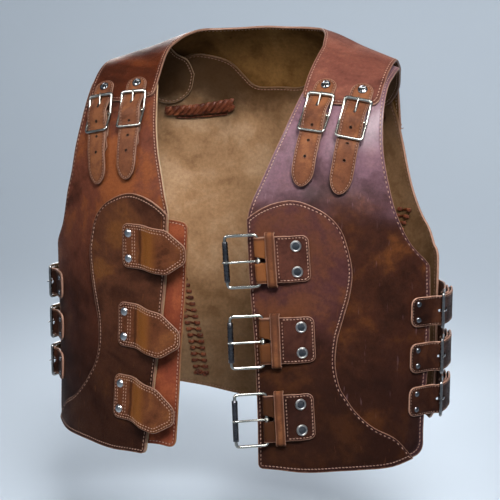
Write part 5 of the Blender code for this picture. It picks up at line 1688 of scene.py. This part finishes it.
def addSideSet(label, side, height):
    buckleNode = f"side_buckle_{label}"

    def mirrored(rows):
        return [[np.array((side * x, y, z)) for x, y, z in row] for row in rows]

    def laidRow(across, front, lift):
        return [lifted(across * mm, runAt(across * mm, height + s * sides["half"], front), lift)[0]
                for s in (-1, 0, 1)]

    def freeRows(places):
        return [[(x * mm, y * mm, height + s * sides["half"]) for s in (-1, 0, 1)] for x, y in places]

    def rivetSpots(at):
        return [(at, -sides["rivetAcross"]), (at, sides["rivetAcross"])]

    onFront = leather["panel"] + sides["gap"] + leather["strap"] / 2
    laid = [laidRow(x, True, onFront) for x in sides["strapFront"]]
    place, length = ribbonPlace(mirrored(laid + freeRows(sides["strapFree"])), np.array((side, 0, 0)), 9)
    outline = strapOutline(length[-1], sides["half"], *sides["strapEnds"])
    slotAt = float((length[6] + length[7]) / 2)
    holes = [longHole(slotAt, 0, sides["slotLength"], sides["slotWidth"])]
    holes += [roundHole(slotAt + step * mm, 0, sides["hole"]) for step in sides["holeSteps"]]
    addStrap(f"side_strap_{label}", outline, place, "strap", ("sideStrap", "flesh", "edgePink"),
             "stretched", [f"front_{label[0]}", buckleNode],
             {"holes": holes, "groove": sides["border"], **sides["cutting"]},
             {"runs": borderRuns(outline, sides["border"]), "inside": False, **sides["sewing"]},
             (f"side_rivets_{label}", rivetProfile, rivetSpots(length[2]), 1, sides["rivet"],
              ("rivetDark",)))

    onBack = leather["backLift"] + leather["panel"] + sides["gap"] + leather["fold"] / 2
    rows = mirrored([laidRow(x, False, onBack) for x in sides["foldBack"]] + freeRows(sides["foldFree"]))
    place, length = ribbonPlace(rows, np.array((side, 0, 0)), len(rows) - 3)
    outline = strapOutline(length[-1], sides["half"], *sides["foldEnds"])
    bend = (float(length[9]) - 2 * mm, float(length[14]) + 2 * mm)
    turn = float(length[12])
    slot = longHole(turn, 0, sides["slotLength"], sides["slotWidth"])
    # the long layer on the back shows the face that is inside the fold, so its rivets point that way
    addStrap(f"side_chape_{label}", outline, place, "fold", ("sideStrap", "sideStrap", "edgePink"),
             "folded", ["back", buckleNode],
             {"holes": [slot], "groove": sides["border"], "bands": [bend], **sides["foldCutting"]},
             {"runs": borderRuns(outline, sides["border"]), "clear": [(turn, 0, sides["foldClear"])],
              **sides["sewing"]},
             (f"side_chape_rivets_{label}", rivetProfile, rivetSpots(float(length[2])), -1,
              sides["rivet"], ("rivetDark",)))

    tip, heel = sides["tipBar"], sides["heelBar"]
    reach = sides["frameHalf"]
    corners = [(side * x * mm, y * mm, height + s * reach)
               for (x, y), s in ((tip, 1), (heel, 1), (heel, -1), (tip, -1))]
    loop = closeUp(roundedLoop(corners, (4 * mm,) * 4), 3 * mm)
    frame = tube("loop", loop, sides["wire"], [finish["sideMetal"]], closed=True)
    arm = smoothLine([(side * x * mm, y * mm, height) for x, y in sides["prong"]])
    sizes = np.interp(np.linspace(0, 1, len(arm)), (0, 0.12, 0.8, 1), (1.15, 1.0, 0.95, 0.6))
    prong = tube("prong", arm, sides["prongWire"], [finish["sideMetal"]], radii=sizes)
    coil = sides["coilReach"]
    ring = [(side * heel[0] * mm + coil * math.cos(a), heel[1] * mm + coil * math.sin(a), height)
            for a in np.linspace(0, 2 * math.pi, 20, endpoint=False)]
    eye = tube("eye", ring, sides["coilWire"], [finish["sideMetal"]], closed=True, sides=10)
    buckle = joined(buckleNode + "_metal", [frame, prong, eye])
    settle(buckle, [buckleNode], "root", "nickel")


for letter, side in (("L", 1), ("R", -1)):
    for number, height in enumerate(sides["heights"], 1):
        addSideSet(f"{letter}_{number}", side, height * mm)
print("side straps ready")

# front closures, sizes in mm: the folded piece goes from under the buckle round its heel bar to the tab
closure = {
    "fold": ((36, 8.4), (18, 8.4), (6, 8.6), (0, 8.6), (-2.55, 9.65), (-3.6, 12.2), (-2.55, 14.75),
             (0, 15.8), (6, 14.4), (12, 12.2), (19, 11.1), (37, 11.1), (45, 9.2), (51, 8.4)),
    "hinges": (69, 76, 84.5),
    "hingeLift": 12.2 * mm,
    "tilts": (8, 16, 22),
    "hangs": (3.9, 4.0, 5.5),
    "heights": (-259.5, -361, -457),
    "lengths": (60.5, 61, 55.5),
    "rivetInset": 15 * mm,
    # the fold is free of the chest up to freeEnd, and its last rows lie this far from the tab's end
    "freeEnd": 14,
    "tabStart": 13,
    "tabRows": (9, 3, 0),
    "tabHeight": 8.4,
    "turnRow": 5,
    "freeHalf": 28.6 * mm,
    "laidHalf": 29 * mm,
    "half": 28.8 * mm,
    "foldEnds": ((2 * mm, 2 * mm, 2.0), (9 * mm, 8 * mm, 2.0)),
    "slotEnd": 9.0,
    "slotWidth": 5.2 * mm,
    "border": 2.8 * mm,
    "sewnFrom": 23.5,
    "bendReach": 9 * mm,
    "foldCutting": {"step": 1.4 * mm, "spacing": 4.5 * mm, "grooveDepth": 0.25 * mm},
    "tabRivets": {"inset": 15.5, "across": 16 * mm, "size": 7.1 * mm},
    "keeper": ((-32.6, 8.4), (-33.6, 12.0), (-31.0, 15.6), (0, 16.4), (31.0, 15.6), (33.6, 12.0),
               (32.6, 8.4)),
    "keeperEnds": ((0.6 * mm, 0.6 * mm, 2.0), (0.6 * mm, 0.6 * mm, 2.0)),
    "keeperCutting": {"step": 1.4 * mm, "spacing": 2.4 * mm, "groove": 2.0 * mm, "grooveDepth": 0},
    "keeperOffset": 15.5 * mm,
    "keeperHalf": 6.0 * mm,
    "frameLength": 40 * mm,
    "frameHalf": 32.2 * mm,
    "frameCorner": 5.0 * mm,
    "frameWire": 2.0 * mm,
    "prong": ((-44.2, 4.3), (-42.5, 5.0), (-39, 5.4), (-34, 5.3), (-26, 4.6), (-16, 3.9), (-8, 3.8),
              (-3.5, 3.7)),
    "prongWire": 1.45 * mm,
    "coilReach": 3.1 * mm,
    "coilWire": 0.72 * mm,
    # the roller's places along its axis, and its half-widths there
    "roller": ((-25.2, 2.4), (-25.2, 3.3), (-24.9, 3.6), (-20, 3.6), (-10, 3.6), (0, 3.6), (10, 3.6),
               (20, 3.6), (24.9, 3.6), (25.2, 3.3), (25.2, 2.4)),
    # place across, height, drop and half-width
    "billet": ((125, 8.6, 0, 29), (122, 8.6, 0, 29), (115, 8.6, 0, 29), (101, 8.8, 0, 29),
               (91, 10.6, 2, 29), (83, 14.6, 4.5, 29), (73, 17.6, 8, 29), (60, 17.6, 11.5, 29),
               (55, 17.0, 13, 28), (48, 16.0, 14.5, 23.4), (40, 14.8, 16, 17.2), (33, 13.8, 17.5, 12),
               (30, 13.4, 18.5, 9.4)),
    "billetDropShares": (0.28, 0.62, 0.82),
    "billetShifts": (-7, 0, 3),
    "billetEnds": ((9 * mm, 9 * mm, 2.0), (5 * mm, 5 * mm, 2.0)),
    "billetBorders": (2.8 * mm, 6.2 * mm),
    "billetColumns": (16.5, 20.5),
    "billetCutting": {"step": 1.6 * mm, "spacing": 4 * mm, "bevel": 0.9 * mm, "grooveDepth": 0.25 * mm},
    "billetRivets": {"inset": 10 * mm, "across": 16.4 * mm, "size": 5.5 * mm, "clear": 5 * mm},
    "billetHeights": (-256, -360, -455),
    "sewing": {"pitch": 4.2 * mm, "length": 3.0 * mm, "radius": 0.52 * mm, "inside": False,
               "thread": "thread"},
}


def hungPlace(number, across, up=0.0):
    pivot = (closure["hinges"][number] + closure["lengths"][number]) * mm - closure["rivetInset"]
    angle = math.radians(closure["hangs"][number])
    away = across - pivot
    place = pivot + away * math.cos(angle) - up * math.sin(angle)
    height = closure["heights"][number] * mm + away * math.sin(angle)
    return place, runAt(place, height) - up * math.cos(angle)


def closureMatrices(number):
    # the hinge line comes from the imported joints; local -x points to the front edge
    joints = {joint["name"]: joint for joint in frame["joints"]}
    hinge = Vector(joints[f"frame_{number + 1}_swing"]["pos_m"])
    roller = Vector(joints[f"roller_{number + 1}_spin"]["pos_m"])
    up = Vector(joints[f"frame_{number + 1}_swing"]["axis"]).normalized()
    away = (hinge - roller).normalized()
    out = away.cross(up).normalized()
    matrix = Matrix((away, up, out)).transposed().to_4x4()
    matrix.translation = hinge
    return matrix @ Matrix.Rotation(-math.radians(closure["tilts"][number]), 4, "Y"), matrix


def addTab(number, outward):
    # the folded piece that holds the buckle, riveted and sewn to the chest
    label = number + 1
    across = closure["hinges"][number] * mm
    flat = closureMatrices(number)[0]
    last = closure["lengths"][number]
    rows, aways = [], []
    for away, lift in [row for row in closure["fold"] if row[0] < last - closure["tabStart"]] + [
            (last - gap, closure["tabHeight"]) for gap in closure["tabRows"]]:
        aways.append(away)
        if away < closure["freeEnd"]:
            out = lift * mm - closure["hingeLift"]
            rows.append([np.array(flat @ Vector((away * mm, -share * closure["freeHalf"], out)))
                         for share in (-1, 0, 1)])
        else:
            rows.append([lifted(*hungPlace(number, across + away * mm, -share * closure["laidHalf"]),
                                lift * mm)[0] for share in (-1, 0, 1)])
    place, length = ribbonPlace(rows, outward, len(rows) - 2)
    turnRow = closure["turnRow"]
    upper = [(aways[i], length[i]) for i in range(turnRow + 1, len(rows))]

    def along(away):
        return float(np.interp(away, [a for a, _ in upper], [s for _, s in upper]))

    outline = strapOutline(length[-1], closure["half"], *closure["foldEnds"])
    turn = float(length[turnRow])
    slot = longHole(turn, 0, 2 * (along(closure["slotEnd"]) - turn), closure["slotWidth"], 9)
    bend = (turn - closure["bendReach"], turn + closure["bendReach"])
    start = along(closure["sewnFrom"])
    border = insetLoop(evenLoop(outline, 1.5 * mm), closure["border"])
    border = border[border[:, 0] > start]
    border = border[np.argsort(np.arctan2(border[:, 1], border[:, 0] - start))]
    column = (np.array([(start, v * mm) for v in (-24, 24)]), False)
    rivets = closure["tabRivets"]
    at = along(last - rivets["inset"])
    spots = [(at, -rivets["across"]), (at, rivets["across"])]
    addStrap(f"chape_{label}", outline, place, "fold", ("fold", "flesh", "edge"), "folded",
             ["front_L", f"buckle_frame_{label}"],
             {"holes": [slot], "groove": closure["border"], "bands": [bend], **closure["foldCutting"]},
             {"runs": [(border, False), column], **closure["sewing"]},
             # rivet rims in a middle copy of the nickel, centres in the dark one: painted reflection
             (f"chape_rivets_{label}", rimmedProfile, spots, 1, rivets["size"],
              ("rivetRim", "rivetDark")), slot="fold_leather")


def addKeeper(number, outward):
    label = number + 1
    across = closure["hinges"][number] * mm + closure["keeperOffset"]
    half = closure["keeperHalf"]
    rows = []
    for down, lift in closure["keeper"]:
        rows.append([lifted(*hungPlace(number, across + s * half, -down * mm), lift * mm)[0]
                     for s in (-1, 0, 1)])
    place, length = ribbonPlace(rows, outward, 3)
    outline = strapOutline(length[-1], half, *closure["keeperEnds"])
    addStrap(f"keeper_{label}", outline, place, "fold", ("strap", "flesh", "edge"), "stretched",
             [f"chape_{label}", "front_L"], closure["keeperCutting"])


def addBuckle(number):
    label = number + 1
    tilted = closureMatrices(number)[1]
    far, high = -closure["frameLength"], closure["frameHalf"]
    corners = [(x, s * high, 0) for x, s in ((far, 1), (0, 1), (0, -1), (far, -1))]
    flat = closeUp(roundedLoop(corners, (closure["frameCorner"],) * 4), 3 * mm)
    loop = [tilted @ Vector(p) for p in flat]
    metal = tube(f"buckle_frame_{label}_metal", loop, closure["frameWire"], [finish["nickel"]],
                 closed=True, sides=14)
    settle(metal, [f"buckle_frame_{label}"], f"frame_{label}", "nickel")

    arm = smoothLine([(x * mm, 0, z * mm) for x, z in closure["prong"]])
    sizes = np.interp(np.linspace(0, 1, len(arm)), (0, 0.05, 0.15, 1), (0.55, 0.85, 1.0, 1.05))
    bar = tube("arm", [tilted @ p for p in arm], closure["prongWire"], [finish["nickel"]], radii=sizes,
               sides=14)
    coils, coil = [], closure["coilReach"]
    for offset in (-1.5, 0.0, 1.5):
        ring = [tilted @ Vector((coil * math.cos(a), offset * 0.82 * mm, coil * math.sin(a)))
                for a in np.linspace(0, 2 * math.pi, 24, endpoint=False)]
        coils.append(tube("coil", ring, closure["coilWire"], [finish["nickel"]], closed=True, sides=10))
    prong = joined(f"prong_{label}_metal", [bar] + coils)
    settle(prong, [f"prong_{label}"], f"prong_{label}", "nickel")

    profile = [(r * mm, y * mm) for y, r in closure["roller"]]
    axisPoint = np.array(tilted @ Vector((far, 0, 0)))
    axis = np.array(tilted.to_3x3() @ Vector((0, 1, 0)))
    roller = turned(f"roller_{label}_metal", profile, [(axisPoint, axis, 1.0)], [finish["roller"]], 28)
    settle(roller, [f"roller_{label}"], f"roller_{label}", "roller_steel")


def addBillet(number):
    height = closure["billetHeights"][number] * mm
    rows, halves = [], []
    for across, lift, drop, half in closure["billet"]:
        place = (across + closure["billetShifts"][number]) * mm
        run = runAt(place, height) + drop * closure["billetDropShares"][number] * mm
        runs = run + np.array((-1, 0, 1)) * 29 * mm
        row = lifted(np.full(3, place), runs, np.full(3, lift * mm))
        rows.append(row * np.array([-1, 1, 1]))
        halves.append(half * mm)
    outward = formAt(-100 * mm, runAt(100 * mm, height))[1][0]
    place, length = ribbonPlace(rows, outward, 4)
    outline = strapOutline(length[-1], (length, halves), *closure["billetEnds"])
    columns = [(np.array([(u * mm, v * mm) for v in (-21, 21)]), False)
               for u in closure["billetColumns"]]
    borders = [run for inset in closure["billetBorders"] for run in borderRuns(outline, inset)]
    rivets = closure["billetRivets"]
    spots = [(rivets["inset"], -rivets["across"]), (rivets["inset"], rivets["across"])]
    addStrap(f"billet_{number + 1}", outline, place, "strap", ("billet", "flesh", "edge"), "hung",
             ["front_R"],
             {"groove": closure["border"], **closure["billetCutting"]},
             {"runs": borders + columns, "clear": [(*spot, rivets["clear"]) for spot in spots],
              **closure["sewing"]},
             (f"billet_rivets_{number + 1}", rivetProfile, spots, 1, rivets["size"], ("rivet",)))


for number in range(3):
    across = closure["hinges"][number] * mm
    outward = formAt(across, hungPlace(number, across)[1])[1][0]
    addTab(number, outward)
    addKeeper(number, outward)
    addBuckle(number)
    addBillet(number)
print("closures ready")

# trim on the inside of the back: places across, heights and, for the braid, half-widths
trim = {
    "braid": ((70, -87.5, 9.5), (85, -89.5, 9.5), (102, -92, 9), (118, -94, 8.5), (134, -95.5, 8.5),
              (150, -96, 8), (163, -96, 7.5)),
    "braidPitch": 25 * mm,
    "strand": 3.7 * mm,
    "strandRise": 1.5 * mm,
    "braidSteps": 170,
    "braidLevel": 3.2 * mm,
    "braidHalf": 8.5 * mm,
    # the plain thong below the braid: its half-width, its place and the steps that it spans
    "cord": 1.7 * mm,
    "cordGap": 2.6 * mm,
    "cordLevel": 1.4 * mm,
    "cordSpan": (18, -24),
    "up": (0, -1, 0.1),
    "lacing": ((194, -222), (181, -255), (167, -293), (153, -333), (142, -369), (133, -408), (128, -432),
               (124, -461), (122, -481), (120, -500)),
    "lacePitch": 10 * mm,
    "laceColumn": 7.2 * mm,
    "laceReach": 3.0 * mm,
    "dash": 2.6 * mm,
    "dashBow": ((-1.15, 0.4), (-0.8, 1.4), (0, 1.9), (0.8, 1.4), (1.15, 0.4)),
    "rung": 1.3 * mm,
    "rungReach": 0.72,
    # turns of the knot at the foot: place across and thickness
    "knot": ((-4, 3.0), (2, 2.5), (6, 2.0)),
}


def insideBack(across, height, lift, side):
    return lifted(across, runAt(across, height, False), lift)[0] * np.array([side, 1, 1])


def addBraid(letter, side):
    places = np.array(trim["braid"], float).T * mm
    across = np.linspace(places[0, 0], places[0, -1], trim["braidSteps"])
    heights = np.interp(across, places[0], places[1])
    half = np.interp(across, places[0], places[2])
    base = np.array([runAt(x, z, False) for x, z in zip(across, heights)])
    level = leather["backLift"] - trim["braidLevel"]
    strands = []
    for k in range(3):
        phase = (across - across[0]) / trim["braidPitch"] * 2 * math.pi + k * 2 * math.pi / 3
        aside = -(half - trim["strand"]) * np.sin(phase)
        high = -trim["strandRise"] * np.cos(phase)
        line = lifted(across, base + aside, level + high) * np.array([side, 1, 1])
        strands.append(tube("strand", line, trim["strand"], [finish["thong"]], sides=12, flat=0.5,
                            up=trim["up"], radii=half / trim["braidHalf"]))
    braid = joined(f"braid_{letter}_strands", strands)
    settle(braid, [f"braid_{letter}"], "root", "trim_leather")
    part = slice(*trim["cordSpan"])
    line = lifted(across[part], base[part] - half[part] - trim["cordGap"],
                  leather["backLift"] - trim["cordLevel"])
    thin = tube(f"braid_cord_{letter}", line * np.array([side, 1, 1]), trim["cord"], [finish["thong"]],
                sides=8, flat=0.7, up=trim["up"])
    settle(thin)


def addLacing(letter, side):
    places = np.array(trim["lacing"], float)[::-1].T * mm
    steps = np.hypot(np.diff(places[0]), np.diff(places[1]))
    length = np.concatenate([[0], np.cumsum(steps)])
    at = np.arange(6 * mm, length[-1] - 2 * mm, trim["lacePitch"])
    middles, heights = (np.interp(at, length, row) for row in places)
    level = leather["backLift"]
    parts = []
    for across, height in zip(middles, heights):
        for column in (-trim["laceColumn"], trim["laceColumn"]):
            reach = trim["laceReach"] * (0.9 + 0.3 * random.random())
            tilt = 0.5 * mm * (random.random() - 0.5)
            line = [insideBack(across + column + e * reach, height + e * tilt, level - h * mm, side)
                    for e, h in trim["dashBow"]]
            parts.append(tube("dash", line, trim["dash"], [finish["thong"]], sides=10, flat=0.42,
                              up=trim["up"]))
        line = [insideBack(across + e * trim["laceColumn"] * trim["rungReach"], height + e * 1.5 * mm,
                           level - 0.7 * mm, side) for e in (-1, 0, 1)]
        parts.append(tube("rung", line, trim["rung"], [finish["lace"]], sides=8, flat=0.4,
                          up=trim["up"]))
    for turnAt, size in trim["knot"]:
        height = (-494 + 0.4 * turnAt) * mm
        line = [insideBack((120 + turnAt + 2.6 * math.cos(a)) * mm, height + 2.4 * mm * math.sin(a),
                           level - (1.2 + 0.5 * math.sin(2 * a)) * mm, side)
                for a in np.linspace(0, 2 * math.pi, 14, endpoint=False)]
        parts.append(tube("knot", line, size * 0.6 * mm, [finish["thong"]], closed=True, sides=8,
                          flat=0.6, up=trim["up"]))
    lacing = joined(f"lacing_{letter}_thongs", parts)
    settle(lacing, [f"lacing_{letter}"], "root", "trim_leather")


for letter, side in (("L", 1), ("R", -1)):
    addBraid(letter, side)
    addLacing(letter, side)
print("trim ready")

# studio
studio = {
    "floorHeight": -0.72,
    "reach": 4.6,
    "turn": 3.2,
    "wallTop": 4.4,
    "floorTone": (0.56, 0.63, 0.70),
    "cloudTone": (0.54, 0.61, 0.69),
    "roomTone": (0.86, 0.92, 1.0, 1.0),
    "roomStrength": 0.045,
    # place, target, width and height, power in watts and spread in degrees
    "lights": {
        "keyBox": ((-1.1, -2.0, 1.5), (0.0, 0.0, -0.12), (0.9, 0.9), 1.9, 40),
        "highBox": ((0.80, -1.15, 1.15), (0.20, -0.1, -0.06), (1.0, 0.7), 5.4, 44),
        "fillBox": ((2.2, -1.6, 0.2), (0.0, 0.0, -0.26), (1.4, 1.8), 1.3, 180),
        "backBox": ((-1.1, 2.1, 0.5), (0.0, 0.0, -0.26), (1.0, 1.2), 6, 70),
        "paperBox": ((0.0, 0.5, 2.7), (0.0, 4.0, -0.2), (3.2, 1.0), 66, 130),
        "frontPaperBox": ((0.0, -0.9, 2.7), (0.0, -4.2, -0.2), (3.2, 1.0), 26, 130),
    },
}
view = {
    "lens": 86.4,
    "sensor": 36.0,
    "place": (0.5630, -1.5220, -0.0062),
    "right": (0.938118, 0.346316, 0.000372),
    "up": (-0.057660, 0.155134, 0.986209),
    "back": (0.341482, -0.925202, 0.165503),
}


def addStudio():
    # a round floor that turns up into a wall, so that every side has the same paper behind it
    floor, turn, reach = studio["floorHeight"], studio["turn"], studio["reach"]
    profile = [(reach - turn + turn * math.sin(a), turn * (1 - math.cos(a)))
               for a in np.linspace(0, math.pi / 2, 24)]
    profile.append((reach, studio["wallTop"]))
    around = np.linspace(0, 2 * math.pi, 72, endpoint=False)
    verts = [(0, 0, floor)]
    verts += [(r * math.cos(a), r * math.sin(a), floor + z) for r, z in profile for a in around]
    count = len(around)
    faces = [(0, 1 + k, 1 + (k + 1) % count) for k in range(count)]
    for i in range(len(profile) - 1):
        for k in range(count):
            a, b = 1 + i * count + k, 1 + i * count + (k + 1) % count
            faces.append((a, a + count, b + count, b))
    material, w, shader, place = newMaterial("studioPaper")
    paper = w.mix(w.noise(place, 2.0), studio["floorTone"], studio["cloudTone"])
    w.join(paper, shader.inputs["Base Color"])
    shader.inputs["Roughness"].default_value = 0.9
    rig.stage(meshPiece("studioSweep", verts, faces, [material]))


def addLight(name, place, target, size, power, spread):
    data = bpy.data.lights.new(name, "AREA")
    data.shape = "RECTANGLE"
    data.size, data.size_y = size
    data.energy = power
    data.spread = math.radians(spread)
    lamp = bpy.data.objects.new(name, data)
    lamp.location = place
    lamp.rotation_euler = (Vector(target) - Vector(place)).to_track_quat("-Z", "Y").to_euler()
    bpy.context.scene.collection.objects.link(lamp)


def addCamera():
    data = bpy.data.cameras.new("camera")
    data.lens = view["lens"]
    data.sensor_width = view["sensor"]
    camera = bpy.data.objects.new("camera", data)
    axes = [Vector(view[way]) for way in ("right", "up", "back")]
    matrix = Matrix(axes).transposed().to_4x4()
    matrix.translation = Vector(view["place"])
    camera.matrix_world = matrix
    bpy.context.scene.collection.objects.link(camera)
    bpy.context.scene.camera = camera


addStudio()
for name, row in studio["lights"].items():
    addLight(name, *row)
world = bpy.data.worlds.new("room")
world.use_nodes = True
room = world.node_tree.nodes["Background"]
room.inputs["Color"].default_value = studio["roomTone"]
room.inputs["Strength"].default_value = studio["roomStrength"]
bpy.context.scene.world = world
addCamera()
bpy.context.scene.view_settings.view_transform = "Standard"
print("studio ready")

low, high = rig.bounds()
with open("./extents.json", "w") as sizeFile:
    json.dump({"cad": [list(cadLow), list(cadHigh)], "visual": [list(low), list(high)]}, sizeFile)
print("size", np.round(np.subtract(cadHigh, cadLow), 4), np.round(np.subtract(high, low), 4))
